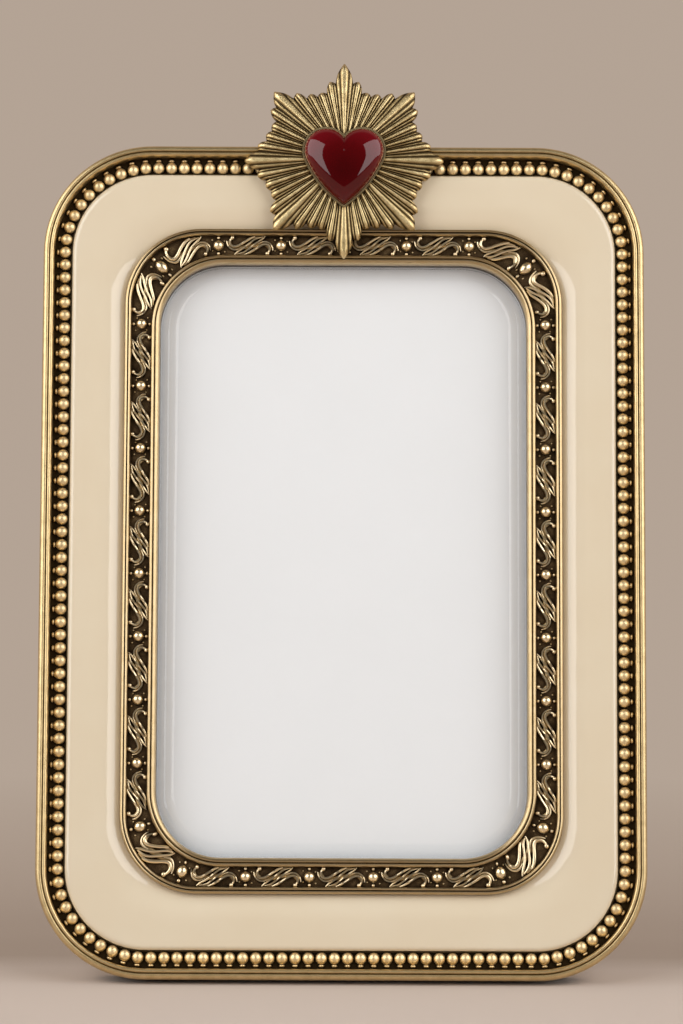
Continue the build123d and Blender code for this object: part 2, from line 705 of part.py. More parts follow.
def opened(part):
    """A piece of the leg, drawn folded flat against the back, swung out to its stop."""
    axis = Pos(0, HINGE_HEIGHT, AXIS_DEPTH)
    return axis * Rot(LEG_ANGLE, 0, 0) * axis.inverse() * part


def leg_board(back, front):
    """A plate of the outline of the leg, with a notch for the knuckles between its two ears."""
    ear = (VELVET_BACK - AXIS_DEPTH - LEG_STOP_GAP) / sin(radians(LEG_ANGLE))
    top = HINGE_HEIGHT + ear
    foot = HINGE_HEIGHT - LEG_REACH
    outline = Polyline(
        (-LEG_TOP_WIDTH / 2, top), (LEG_TOP_WIDTH / 2, top),
        (LEG_FOOT_WIDTH / 2, foot), (-LEG_FOOT_WIDTH / 2, foot), close=True)
    board = Pos(0, 0, back) * extrude(make_face(outline), front - back)
    half = HINGE_WIDTH / 2 + 2 * KNUCKLE_GAP
    notch_foot = HINGE_HEIGHT - KNUCKLE_RADIUS - 2 * KNUCKLE_GAP
    return board - block((-half, notch_foot, back - CUT), (half, top + CUT, front + CUT))


def easel_leg():
    """The board of the leg; the ears above the axis meet the panel and stop it."""
    leg = leg_board(AXIS_DEPTH - LEG_THICKNESS, AXIS_DEPTH)
    for place in leaf_rivet_places(-1):
        leg -= rod(place, RIVET_RADIUS + RIVET_PLAY, AXIS_DEPTH - LEG_THICKNESS - CUT, CUT)
    return opened(leg)


def leg_velvet():
    """The velvet glued over the rear of the leg."""
    back = AXIS_DEPTH - LEG_THICKNESS
    return opened(leg_board(back - VELVET_THICKNESS, back))


def hinge_leg_leaf():
    """The hinge leaf riveted to the front of the leg, with the middle knuckle."""
    half = HINGE_WIDTH / 2
    knuckle = half - KNUCKLE_WIDTH - KNUCKLE_GAP
    front = AXIS_DEPTH + HINGE_SHEET
    leaf = block((-half, HINGE_HEIGHT - HINGE_LEAF, AXIS_DEPTH), (half, HINGE_HEIGHT, front))
    swing = HINGE_HEIGHT - KNUCKLE_RADIUS - KNUCKLE_GAP
    for side in (-1, 1):
        low, high = sorted((side * knuckle, side * (half + CUT)))
        leaf -= block((low, swing, AXIS_DEPTH - CUT), (high, HINGE_HEIGHT + CUT, front + CUT))
    leaf += bar(KNUCKLE_RADIUS, -knuckle, knuckle)
    leaf -= bar(PIN_RADIUS + PIN_PLAY, -half, half)
    for place in leaf_rivet_places(-1):
        leaf -= rod(place, RIVET_RADIUS + RIVET_PLAY, AXIS_DEPTH - CUT, front + CUT)
    return opened(leaf)


def leg_leaf_rivets():
    """The rivets through the leg leaf and the leg, with their heads on the leaf."""
    rivets = []
    front = AXIS_DEPTH + HINGE_SHEET
    for place in leaf_rivet_places(-1):
        head = rod(place, RIVET_HEAD_RADIUS, front, front + RIVET_HEAD_HEIGHT)
        rivets.append(opened(head + rod(place, RIVET_RADIUS, AXIS_DEPTH - LEG_THICKNESS, front)))
    return rivets


# The border leans back, and is let down far enough to grind its standing flat
TURN = Rot(90 - LEAN, 0, 0)
GROUND = STANDING_FLAT * sin(radians(LEAN)) * cos(radians(LEAN))
DROP = SHELL_INSET * cos(radians(LEAN)) + GROUND
FOOT_TRIMMED = ("frame_shell", "easel_leg", "leg_velvet")


def stood(part):
    """A piece turned from lying on its back to standing and leaning."""
    return Pos(0, 0, -DROP) * TURN * part


MAKERS = (
    frame_shell, rim_moulding, bead_border, enamel_field, band_outer_rail, band_inner_rail,
    scroll_band_base, scroll_ornaments, scroll_studs, starburst, heart_bezel, heart_stone,
    starburst_screws, glass_pane, photo_card, filler_board, rear_plate, rear_plate_screws,
    rail_left, rail_right, rail_bottom, rail_rivets, back_panel, back_velvet, hinge_fixed_leaf,
    hinge_pin, fixed_leaf_rivets, easel_leg, leg_velvet, hinge_leg_leaf, leg_leaf_rivets)


def standing_pieces():
    """Every piece by name, standing on Z zero, with the foot of border and leg trimmed level."""
    pieces = {}
    for make in MAKERS:
        made = make()
        items = made if isinstance(made, list) else [made]
        solids = [stood(solid) for item in items for solid in item.solids()]
        if make.__name__ in FOOT_TRIMMED:
            solids = [split(solid, Plane.XY, keep=Keep.TOP) for solid in solids]
        pieces[make.__name__] = Compound(children=solids) if len(solids) > 1 else solids[0]
    return pieces


def depth_shift(pieces):
    """How far to move everything along Y so that Z runs up through the middle of the footprint."""
    boxes = [piece.bounding_box() for piece in pieces.values()]
    return -(min(box.min.Y for box in boxes) + max(box.max.Y for box in boxes)) / 2


PIECES = standing_pieces()
SHIFT = depth_shift(PIECES)

os.makedirs("parts", exist_ok=True)
for name, piece in PIECES.items():
    export_step(Pos(0, SHIFT, 0) * piece, f"parts/{name}.step")
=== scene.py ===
import bpy
import json
from math import atan2, cos, exp, hypot, pi, radians, sin, sqrt
from mathutils import Matrix, Vector

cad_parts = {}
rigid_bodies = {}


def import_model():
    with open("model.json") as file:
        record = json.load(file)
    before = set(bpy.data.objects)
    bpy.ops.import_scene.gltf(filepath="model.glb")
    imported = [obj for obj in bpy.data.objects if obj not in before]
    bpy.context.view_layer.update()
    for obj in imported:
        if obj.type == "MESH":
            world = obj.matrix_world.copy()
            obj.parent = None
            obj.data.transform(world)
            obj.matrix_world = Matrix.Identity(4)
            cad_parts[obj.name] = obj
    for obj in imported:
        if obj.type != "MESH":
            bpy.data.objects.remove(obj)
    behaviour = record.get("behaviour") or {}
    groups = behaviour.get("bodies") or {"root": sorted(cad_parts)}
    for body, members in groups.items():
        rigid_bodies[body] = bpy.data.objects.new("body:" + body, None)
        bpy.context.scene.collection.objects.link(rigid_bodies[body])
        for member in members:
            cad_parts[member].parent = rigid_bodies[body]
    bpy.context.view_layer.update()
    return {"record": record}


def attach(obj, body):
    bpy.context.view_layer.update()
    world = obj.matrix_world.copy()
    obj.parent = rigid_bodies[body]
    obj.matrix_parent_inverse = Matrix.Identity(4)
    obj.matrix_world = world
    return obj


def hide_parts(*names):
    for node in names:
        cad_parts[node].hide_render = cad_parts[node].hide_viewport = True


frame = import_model()


# The camera stands about a metre in front of the frame, a little above its middle and looking
# slightly down, with a long lens, as the widths of the border in the photograph give it.
VIEW_DISTANCE = 1.0
VIEW_ELEVATION = 4.4                   # degrees over level
VIEW_AIM = (-0.0003, 0.0, 0.1129)
VIEW_ROLL = 0.23                       # degrees
SENSOR_WIDTH = 36
PICTURE_LONG_SIDE = 1024               # in pixels, as the focal length is
FOCAL_PIXELS = 4010

camera = bpy.data.objects.new("camera", bpy.data.cameras.new("camera"))
bpy.context.scene.collection.objects.link(camera)
bpy.context.scene.camera = camera
camera.data.sensor_width = SENSOR_WIDTH
camera.data.lens = FOCAL_PIXELS / PICTURE_LONG_SIDE * SENSOR_WIDTH
tilt = radians(VIEW_ELEVATION)
aim = Vector(VIEW_AIM)
camera.location = aim + VIEW_DISTANCE * Vector((0, -cos(tilt), sin(tilt)))
look = (aim - camera.location).to_track_quat("-Z", "Y").to_matrix().to_4x4()
roll = Matrix.Rotation(radians(VIEW_ROLL), 4, "Z")
camera.matrix_world = Matrix.Translation(camera.location) @ look @ roll


# The stage: a pale table top that the frame stands on, which turns to the taupe of the backdrop
# just behind the frame and fades into it further out, so that it has no edge from any side.
FLOOR_COLOUR = (0.58, 0.485, 0.42, 1)
BEHIND_COLOUR = (0.455, 0.362, 0.295, 1)
BACKDROP_COLOUR = (0.455, 0.368, 0.300, 1)
FLOOR_RADIUS = 2.0
FLOOR_SIDES = 64
FLOOR_END = (-0.012, 0.004)            # how far back the pale floor turns to the tone behind it
FADE = (0.10, 0.34)                    # how far from the middle the floor fades into the backdrop


def fresh_material(name):
    """A new material, with its node tree and its surface shader."""
    material = bpy.data.materials.new(name)
    material.use_nodes = True
    tree = material.node_tree
    return material, tree, tree.nodes["Principled BSDF"]


def node(tree, kind, **settings):
    """A node with its settings and unlinked inputs filled in by name."""
    made = tree.nodes.new(kind)
    for name, value in settings.items():
        if name in made.inputs:
            made.inputs[name].default_value = value
        elif hasattr(made, name):
            setattr(made, name, value)
        else:
            made.inputs[name.replace("_", " ")].default_value = value
    return made


def ramp(tree, source, stops):
    """A colour ramp through (position, colour) stops, fed by a socket."""
    made = node(tree, "ShaderNodeValToRGB")
    elements = made.color_ramp.elements
    elements[0].position, elements[1].position = stops[0][0], stops[-1][0]
    elements[0].color, elements[1].color = stops[0][1], stops[-1][1]
    for position, colour in stops[1:-1]:
        elements.new(position).color = colour
    tree.links.new(source, made.inputs["Fac"])
    return made.outputs["Color"]


def between(tree, source, low, high):
    """How far a value is from low to high, held between 0 and 1."""
    made = node(tree, "ShaderNodeMapRange")
    made.inputs["From Min"].default_value = low
    made.inputs["From Max"].default_value = high
    tree.links.new(source, made.inputs["Value"])
    return made.outputs["Result"]


def maths(tree, operation, *terms):
    """A maths node, held between 0 and 1, on sockets and numbers."""
    made = node(tree, "ShaderNodeMath", operation=operation, use_clamp=True)
    for slot, value in enumerate(terms):
        if isinstance(value, (int, float)):
            made.inputs[slot].default_value = value
        else:
            tree.links.new(value, made.inputs[slot])
    return made.outputs["Value"]


def noise(tree, place, scale, detail, roughness=0.5):
    """A noise texture's value at a place."""
    made = node(tree, "ShaderNodeTexNoise", Scale=scale, Detail=detail, Roughness=roughness)
    tree.links.new(place, made.inputs["Vector"])
    return made.outputs["Fac"]


def relieve(tree, surface, height, strength, distance, socket="Normal"):
    """Let a value stand out of a surface as fine relief, up to a distance in metres."""
    bump = node(tree, "ShaderNodeBump", Strength=strength, Distance=distance)
    tree.links.new(height, bump.inputs["Height"])
    tree.links.new(bump.outputs["Normal"], surface.inputs[socket])


def blend(tree, share, first, second):
    """Show the first shader where a share is 0 and the second where it is 1."""
    mixed = node(tree, "ShaderNodeMixShader")
    for slot, source in enumerate((share, first, second)):
        tree.links.new(source, mixed.inputs[slot])
    tree.links.new(mixed.outputs["Shader"], tree.nodes["Material Output"].inputs["Surface"])


bpy.ops.object.select_all(action="DESELECT")
bpy.ops.mesh.primitive_circle_add(vertices=FLOOR_SIDES, radius=FLOOR_RADIUS, fill_type="NGON")
table = bpy.context.object
table.name = "table_top"
material, tree, surface = fresh_material("table_and_backdrop")
where = node(tree, "ShaderNodeTexCoord").outputs["Object"]
split = node(tree, "ShaderNodeSeparateXYZ")
tree.links.new(where, split.inputs["Vector"])
behind = between(tree, split.outputs["Y"], *FLOOR_END)
floor_tone = ramp(tree, behind, [(0.0, FLOOR_COLOUR), (1.0, BEHIND_COLOUR)])
tree.links.new(floor_tone, surface.inputs["Base Color"])
surface.inputs["Roughness"].default_value = 0.9
relieve(tree, surface, noise(tree, where, scale=900.0, detail=2.0), strength=0.08, distance=0.0003)
reach = node(tree, "ShaderNodeVectorMath", operation="LENGTH")
tree.links.new(where, reach.inputs[0])
ray = node(tree, "ShaderNodeLightPath")
looked_at = maths(tree, "ADD", ray.outputs["Is Camera Ray"], ray.outputs["Is Glossy Ray"])
looked_at = maths(tree, "ADD", looked_at, ray.outputs["Is Transmission Ray"])
faded = maths(tree, "MULTIPLY", looked_at, between(tree, reach.outputs["Value"], *FADE))
backdrop = node(tree, "ShaderNodeEmission", Color=BACKDROP_COLOUR)
blend(tree, faded, surface.outputs["BSDF"], backdrop.outputs["Emission"])
table.data.materials.append(material)


# The light: two big soft boxes to the left and right, which reach from beside the camera to just
# behind the frame, a dim room in front, and the pale backdrop behind.
ROOM_COLOUR = (0.045, 0.0445, 0.044, 1)
BACKDROP_FROM = (-0.05, 0.30)          # how far back a direction points where the backdrop begins
SIDE_BOX_OUT = 0.81
SIDE_BOX_FORWARD = 0.43
SIDE_BOX_UP = 0.58
SIDE_BOX_AIM = (0.0, 0.0, 0.20)
SIDE_BOX_SIZE = (1.34, 0.95)
SIDE_BOX_POWER = 11.2

world = bpy.data.worlds.new("studio_room")
bpy.context.scene.world = world
world.use_nodes = True
tree = world.node_tree
way = node(tree, "ShaderNodeSeparateXYZ")
tree.links.new(node(tree, "ShaderNodeTexCoord").outputs["Generated"], way.inputs["Vector"])
backwards = between(tree, way.outputs["Y"], *BACKDROP_FROM)
seen = maths(tree, "MAXIMUM", backwards, node(tree, "ShaderNodeLightPath").outputs["Is Camera Ray"])
room_tone = ramp(tree, seen, [(0.0, ROOM_COLOUR), (1.0, BACKDROP_COLOUR)])
tree.links.new(room_tone, tree.nodes["Background"].inputs["Color"])


def soft_box(name, side):
    """A soft rectangular lamp on one side of the frame, -1 for the left, that faces it."""
    lamp = bpy.data.lights.new(name, "AREA")
    lamp.shape = "RECTANGLE"
    lamp.size, lamp.size_y = SIDE_BOX_SIZE
    lamp.energy = SIDE_BOX_POWER
    box = bpy.data.objects.new(name, lamp)
    bpy.context.scene.collection.objects.link(box)
    place = Vector((side * SIDE_BOX_OUT, -SIDE_BOX_FORWARD, SIDE_BOX_UP))
    facing = (Vector(SIDE_BOX_AIM) - place).to_track_quat("-Z", "Y")
    box.matrix_world = Matrix.Translation(place) @ facing.to_matrix().to_4x4()


soft_box("left_soft_box", -1)
soft_box("right_soft_box", 1)


# The cast border: an antique brass casting, a tray 8.4 mm deep that everything else sits on or
# in. Its outer wall shows at the edge and its dark floor shows under the beads. It leans back.
MM = 0.001                             # the sections below are written in millimetres
HINGE_AT = (0.0, 130.0, -4.4)          # the leg's pin, up the border and behind it
joints = {joint["name"]: joint for joint in frame["record"]["behaviour"]["joints"]}
up_border = Vector(joints["panel_slide"]["axis"])
LEAN = atan2(up_border.y, up_border.z)
TURN = Matrix.Rotation(pi / 2 - LEAN, 4, "X")
PLACE = Matrix.Translation(Vector(joints["leg_hinge"]["pos_m"]) - TURN @ (Vector(HINGE_AT) * MM)) @ TURN


def along_border(tree):
    """Millimetres across, up and out of the border, from a piece's Object coordinates."""
    turned = node(tree, "ShaderNodeMapping", vector_type="TEXTURE")
    turned.inputs["Location"].default_value = PLACE.to_translation()
    turned.inputs["Rotation"].default_value = PLACE.to_euler()
    turned.inputs["Scale"].default_value = (MM, MM, MM)
    tree.links.new(node(tree, "ShaderNodeTexCoord").outputs["Object"], turned.inputs["Vector"])
    return turned.outputs["Vector"]


SHADE_BRASS = (0.48, 0.34, 0.16, 1)
SHELL_SHADE = (0.16, 0.11, 0.05, 1)
PATINA = (0.035, 0.022, 0.010, 1)
HOLLOW_TO_OPEN = (0.15, 0.90)          # how open a face is where it is darkest and brightest
PATINA_UP_TO = 0.22                    # how worn the brass is where its patina ends,
SHADE_AT = 0.60                        # where it has its shade,
BRIGHT_FROM = 0.92                     # and where it is rubbed bright


def antique_brass(name, bright, shade, patina, recess=1.0, hollow_reach=1.2, low=None, high=None,
                  roughness=(0.26, 0.5), mottle=0.25, relief=0.2, rubbed=None):
    """Antique brass: rubbed bright where it stands out, nearly black where polish never reaches.

    recess is how strongly hollows of a reach in mm darken, low and high are the heights over the
    rear of the border between which it brightens, roughness is where it is bright and where it is
    dark, mottle is how uneven the patina is, and rubbed names a mesh attribute that is 1 where the
    piece is rubbed bright and 0 in its grooves."""
    material, tree, surface = fresh_material(name)
    place = along_border(tree)
    patches = between(tree, noise(tree, place, scale=0.35, detail=5.0, roughness=0.6), 0.30, 0.70)
    speck = noise(tree, place, scale=4.5, detail=3.0, roughness=0.7)
    fine = between(tree, speck, 0.30, 0.75)
    uneven = maths(tree, "MULTIPLY_ADD", patches, 0.6, maths(tree, "MULTIPLY", fine, 0.4))
    worn = maths(tree, "SUBTRACT", 1.0, maths(tree, "MULTIPLY", uneven, mottle))
    hollow = node(tree, "ShaderNodeAmbientOcclusion", samples=8, Distance=hollow_reach * MM)
    opened = maths(tree, "POWER", between(tree, hollow.outputs["AO"], *HOLLOW_TO_OPEN), recess)
    worn = maths(tree, "MULTIPLY", worn, opened)
    if low is not None:
        split = node(tree, "ShaderNodeSeparateXYZ")
        tree.links.new(place, split.inputs["Vector"])
        worn = maths(tree, "MULTIPLY", worn, between(tree, split.outputs["Z"], low, high))
    if rubbed:
        reached = node(tree, "ShaderNodeAttribute", attribute_name=rubbed)
        worn = maths(tree, "MULTIPLY", worn, reached.outputs["Fac"])
    stops = [(0.0, patina), (PATINA_UP_TO, patina), (SHADE_AT, shade), (BRIGHT_FROM, bright)]
    tree.links.new(ramp(tree, worn, stops), surface.inputs["Base Color"])
    surface.inputs["Metallic"].default_value = 1.0
    rough = node(tree, "ShaderNodeMapRange")
    rough.inputs["To Min"].default_value = roughness[1]
    rough.inputs["To Max"].default_value = roughness[0]
    tree.links.new(worn, rough.inputs["Value"])
    tree.links.new(rough.outputs["Result"], surface.inputs["Roughness"])
    relieve(tree, surface, speck, strength=relief, distance=0.00008)
    return material


def dress(node_name, material):
    """Give a node of the frame its material, in every slot that it has."""
    mesh = bpy.data.objects[node_name].data
    if not mesh.materials:
        mesh.materials.append(material)
    for number in range(len(mesh.materials)):
        mesh.materials[number] = material


dress("frame_shell", antique_brass("shell_brass", SHADE_BRASS, SHELL_SHADE, PATINA, recess=1.5,
                                   hollow_reach=3.0))


# The rim moulding: a drawn brass wire with two reeds and a groove between them, bent round the
# border and soldered on its edge. The outer reed rolls over to the side wall.
OUTER = (149.5, 207.0, 27.0)           # the border's width, height and corner radius
FLOOR = 8.4                            # the height of the tray's floor over the rear of the border
MIDDLE = OUTER[1] / 2                  # how far up the border its middle lies
# Each profile is its distance in and height over the floor, from the outside in.
RIM_PROFILE = ((0.0, 0.0), (0.0, 1.9), (0.06, 2.4), (0.22, 2.85), (0.48, 3.2), (0.82, 3.42), (1.15, 3.46),
               (1.36, 3.38), (1.47, 3.22), (1.56, 3.12), (1.66, 3.2), (1.76, 3.40), (1.92, 3.54),
               (2.12, 3.6), (2.34, 3.54), (2.52, 3.34), (2.64, 3.0), (2.7, 2.5))
CORNER_STEPS = 22
BRIGHT_BRASS = (0.72, 0.55, 0.29, 1)


def flat_outline(name, outline, height):
    """A flat face of a rounded outline, lying on the border: a plane with its corners bevelled."""
    bpy.ops.object.select_all(action="DESELECT")
    bpy.ops.mesh.primitive_plane_add(size=1)
    made = bpy.context.object
    made.name = name
    width, tall, radius = outline
    for corner in made.data.vertices:
        corner.co = (corner.co.x * width, MIDDLE + corner.co.y * tall, height)
    bpy.ops.object.mode_set(mode="EDIT")
    bpy.ops.mesh.select_all(action="SELECT")
    bpy.ops.mesh.bevel(offset=radius, offset_type="OFFSET", segments=CORNER_STEPS, profile=0.5,
                       affect="VERTICES", clamp_overlap=False)
    bpy.ops.mesh.select_all(action="SELECT")
    return made


def step_to(width, rise):
    """One step of a moulding: draw the face in by a width and move it up, or extrude it straight."""
    if width:
        bpy.ops.mesh.inset(thickness=width, depth=0, use_even_offset=True)
    else:
        bpy.ops.mesh.extrude_region_move()
    bpy.ops.transform.translate(value=(0, 0, rise))


def follow(section):
    """Take the face along the (distance in, height) points of a section."""
    for (width, height), (next_width, next_height) in zip(section, section[1:]):
        step_to(next_width - width, next_height - height)


def select_open_edges():
    """Select the edges where the piece in edit mode is open, and nothing else."""
    bpy.ops.mesh.select_mode(type="EDGE")
    bpy.ops.mesh.select_all(action="DESELECT")
    bpy.ops.mesh.select_non_manifold()


def face_outwards():
    """Point every face of the piece in edit mode outwards."""
    bpy.ops.mesh.select_all(action="SELECT")
    bpy.ops.mesh.normals_make_consistent(inside=False)


def only(*things):
    """Select these objects and nothing else, the last one active."""
    for other in bpy.context.view_layer.objects:
        other.select_set(False)
    for thing in things:
        thing.select_set(True)
    bpy.context.view_layer.objects.active = things[-1]


def stand_up(made, smooth_to=40):
    """Finish a piece made lying on the border: real size, leaning with it, and shaded smooth over
    edges that turn less than an angle in degrees."""
    if bpy.context.mode != "OBJECT":
        bpy.ops.object.mode_set(mode="OBJECT")
    only(made)
    made.matrix_world = PLACE @ Matrix.Scale(MM, 4)
    bpy.ops.object.transform_apply(location=True, rotation=True, scale=True)
    bpy.ops.object.shade_smooth_by_angle(angle=radians(smooth_to))
    return made


def moulding(name, outline, base, profile):
    """A closed ring with a moulded section, from (distance in, height) points."""
    made = flat_outline(name, outline, base)
    follow(profile)
    step_to(0, -profile[-1][1])
    bpy.ops.mesh.select_mode(type="FACE")
    bpy.ops.mesh.select_face_by_sides(number=4, type="GREATER", extend=False)
    bpy.ops.mesh.delete(type="ONLY_FACE")
    select_open_edges()
    bpy.ops.mesh.bridge_edge_loops()
    face_outwards()
    return stand_up(made)


def as_piece(made, material, stands_for, body="border"):
    """Give a finished piece its material and its body, and hide the node that it stands for."""
    made.data.materials.clear()
    made.data.materials.append(material)
    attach(made, body)
    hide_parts(stands_for)


rim = moulding("reeded_rim", OUTER, FLOOR, RIM_PROFILE)
rim_brass = antique_brass("rim_brass", BRIGHT_BRASS, SHADE_BRASS, PATINA, hollow_reach=0.8,
                          roughness=(0.38, 0.5), mottle=0.35)
as_piece(rim, rim_brass, "rim_moulding")


# The pearl border: cast beads soldered side by side in a channel, each with a short bar across its
# outer end. They are rubbed bright on top, and the channel between them is black with patina.
BEAD_PITCH = 3.2
BEAD_LINE = 5.35                       # how far in from the edge the beads are set
BEAD_RADIUS = 1.47                     # along the channel
BEAD_ACROSS = 1.58                     # half the width of a bead across the channel
BEAD_UP = 0.60                         # how far the middle of a bead stands over the floor
BEAD_FACETS = (12, 9)                  # round it and from end to end
BAR_RADIUS = 0.74
BAR_ACROSS = 0.40
BAR_OUT = 1.84                         # from the middle of the bead towards the rim
BAR_UP = 0.50
BAR_FACETS = (10, 6)
BALL_CUT = -0.05                       # the height at which what is sunk in the floor is cut away
BEADS_DARK_TO = 0.1                    # the heights over the floor where the dark ends
BEADS_BRIGHT_FROM = 0.8                # and where the beads are rubbed bright
BEAD_BRIGHT = (0.97, 0.77, 0.45, 1)
BEAD_SHADE = (0.66, 0.48, 0.25, 1)


def inset(outline, amount):
    """The same outline drawn in by an amount all round."""
    width, height, radius = outline
    return width - 2 * amount, height - 2 * amount, radius - amount


def walk(outline, distance):
    """The point and heading at a distance along an outline, anticlockwise from its foot."""
    width, height, radius = outline
    across, up, bend = width / 2 - radius, height - 2 * radius, radius * pi / 2
    x, y, heading = 0.0, MIDDLE - height / 2, 0.0
    for number, length in enumerate((across, bend, up, bend, 2 * across, bend, up, bend, across)):
        step = min(distance, length)
        distance -= step
        if number % 2:
            turned = heading + step / radius
            x += radius * (sin(turned) - sin(heading))
            y += radius * (cos(heading) - cos(turned))
            heading = turned
        else:
            x += step * cos(heading)
            y += step * sin(heading)
    return x, y, heading


def length_of(outline):
    """The length of a rounded outline."""
    width, height, radius = outline
    return 2 * (width + height) - 8 * radius + 2 * pi * radius


def joined(name, parts):
    """Join finished copies into one piece."""
    only(*parts)
    bpy.ops.object.join()
    bpy.context.object.name = name
    return bpy.context.object


def ball(radius, across, place, facets):
    """A round bead at a place, stretched across, with the cap that is sunk in the floor cut away."""
    bpy.ops.object.select_all(action="DESELECT")
    bpy.ops.mesh.primitive_uv_sphere_add(segments=facets[0], ring_count=facets[1], radius=radius)
    made = bpy.context.object
    for point in made.data.vertices:
        point.co = (point.co.x + place[0], point.co.y * across + place[1], point.co.z + place[2])
    bpy.ops.object.mode_set(mode="EDIT")
    bpy.ops.mesh.select_all(action="SELECT")
    bpy.ops.mesh.bisect(plane_co=(0, 0, BALL_CUT), plane_no=(0, 0, 1), clear_inner=True, use_fill=True)
    bpy.ops.object.mode_set(mode="OBJECT")
    return made


def set_square(outline, origin, point):
    """Carry a point of a pattern to its place along an outline, without bending the pattern."""
    x, y, heading = walk(outline, origin)
    return Vector((x + point.x * cos(heading) - point.y * sin(heading),
                   y + point.x * sin(heading) + point.y * cos(heading), point.z))


def spread(pattern, outline, count, start_share, height, carry=set_square):
    """Copies of a pattern, each with its own mesh, set out evenly along an outline and joined.

    x of the pattern runs along the outline and y inwards; start_share is where the first copy
    lies, as a share of the step between them, and carry takes a point to its place."""
    step = length_of(outline) / count
    name = pattern.name
    copies = []
    for number in range(count):
        copy = pattern.copy()
        copy.data = pattern.data.copy()
        bpy.context.scene.collection.objects.link(copy)
        for point in copy.data.vertices:
            point.co = carry(outline, (number + start_share) * step, point.co)
            point.co.z += height
        copies.append(copy)
    bpy.data.objects.remove(pattern)
    return joined(name, copies)


bead = ball(BEAD_RADIUS, BEAD_ACROSS / BEAD_RADIUS, (0, 0, BEAD_UP), BEAD_FACETS)
bar = ball(BAR_RADIUS, BAR_ACROSS / BAR_RADIUS, (0, -BAR_OUT, BAR_UP), BAR_FACETS)
bead_outline = inset(OUTER, BEAD_LINE)
bead_count = round(length_of(bead_outline) / BEAD_PITCH)
beads = spread(joined("pearl_beads", [bar, bead]), bead_outline, bead_count, 0.5, FLOOR)
stand_up(beads, smooth_to=60)
bead_brass = antique_brass("bead_brass", BEAD_BRIGHT, BEAD_SHADE, PATINA, recess=0.5, hollow_reach=0.7,
                           low=FLOOR + BEADS_DARK_TO, high=FLOOR + BEADS_BRIGHT_FROM,
                           roughness=(0.46, 0.55))
as_piece(beads, bead_brass, "bead_border")


# The enamel field: cream vitreous enamel fired in the tray between the beads and the scroll band.
# It pools thick in the middle, rounds off at the beads and falls gently to the band.
BAND_OUTER = (108.7, 165.2, 19.0)      # the outside of the scroll band
ENAMEL_INSET = 7.2                     # how far in from the edge the enamel begins
ENAMEL_CUTS = 26
ENAMEL_CREST_SHARE = 0.50              # where it is thickest, from the beads to the band
ENAMEL_CREST = 2.45                    # its height over the floor there
ENAMEL_OUTER_FALL = 0.8
ENAMEL_OUTER_TURN = 30                 # how late, and so how tightly, it turns down at the beads
ENAMEL_INNER_FALL = 1.95
ENAMEL_INNER_TURN = 2
CREAM = (0.800, 0.690, 0.515, 1)
CREAM_THIN = (0.780, 0.660, 0.480, 1)


def reach_inside(x, y, outline):
    """How far inside a rounded outline a point lies."""
    width, height, radius = outline
    dx = abs(x) - width / 2 + radius
    dy = abs(y - MIDDLE) - height / 2 + radius
    if dx > 0 and dy > 0:
        return radius - hypot(dx, dy)
    return radius - max(dx, dy)


def drop_edges(made, height):
    """Extrude a piece's open edges straight down to a height, and leave them selected."""
    bpy.ops.object.mode_set(mode="EDIT")
    select_open_edges()
    bpy.ops.mesh.extrude_edges_move()
    bpy.ops.object.mode_set(mode="OBJECT")
    for point in made.data.vertices:
        if point.select:
            point.co.z = height


def enamel_height(share):
    """The height of the glaze at a share of the way from the beads to the band."""
    if share < ENAMEL_CREST_SHARE:
        outwards = 1 - share / ENAMEL_CREST_SHARE
        return ENAMEL_CREST - ENAMEL_OUTER_FALL * outwards ** ENAMEL_OUTER_TURN
    inwards = (share - ENAMEL_CREST_SHARE) / (1 - ENAMEL_CREST_SHARE)
    return ENAMEL_CREST - ENAMEL_INNER_FALL * inwards ** ENAMEL_INNER_TURN


field_outline = inset(OUTER, ENAMEL_INSET)
outside = flat_outline("enamel_field_glaze", field_outline, FLOOR)
bpy.ops.mesh.delete(type="ONLY_FACE")
bpy.ops.object.mode_set(mode="OBJECT")
inside = flat_outline("enamel_inner_edge", BAND_OUTER, FLOOR)
bpy.ops.mesh.delete(type="ONLY_FACE")
bpy.ops.object.mode_set(mode="OBJECT")
glaze = joined("enamel_field_glaze", [inside, outside])
bpy.ops.object.mode_set(mode="EDIT")
bpy.ops.mesh.select_all(action="SELECT")
bpy.ops.mesh.bridge_edge_loops(number_cuts=ENAMEL_CUTS, interpolation="LINEAR")
bpy.ops.object.mode_set(mode="OBJECT")
for point in glaze.data.vertices:
    from_outside = max(0.0, reach_inside(point.co.x, point.co.y, field_outline))
    from_inside = max(0.0, -reach_inside(point.co.x, point.co.y, BAND_OUTER))
    share = from_outside / (from_outside + from_inside)
    point.co.z = FLOOR + enamel_height(share)
drop_edges(glaze, FLOOR)
bpy.ops.object.mode_set(mode="EDIT")
bpy.ops.mesh.bridge_edge_loops()
face_outwards()
stand_up(glaze, smooth_to=50)

enamel, tree, surface = fresh_material("cream_enamel")
place = along_border(tree)
pooled = between(tree, noise(tree, place, scale=0.045, detail=3.0, roughness=0.55), 0.3, 0.7)
tree.links.new(ramp(tree, pooled, [(0.0, CREAM_THIN), (1.0, CREAM)]), surface.inputs["Base Color"])
surface.inputs["Roughness"].default_value = 0.35
surface.inputs["Specular IOR Level"].default_value = 0.3
surface.inputs["Coat Weight"].default_value = 1.0
surface.inputs["Coat Roughness"].default_value = 0.04
surface.inputs["Coat IOR"].default_value = 1.55
ripple = noise(tree, place, scale=0.12, detail=2.0)
relieve(tree, surface, ripple, strength=0.12, distance=0.0008, socket="Coat Normal")
as_piece(glaze, enamel, "enamel_field")


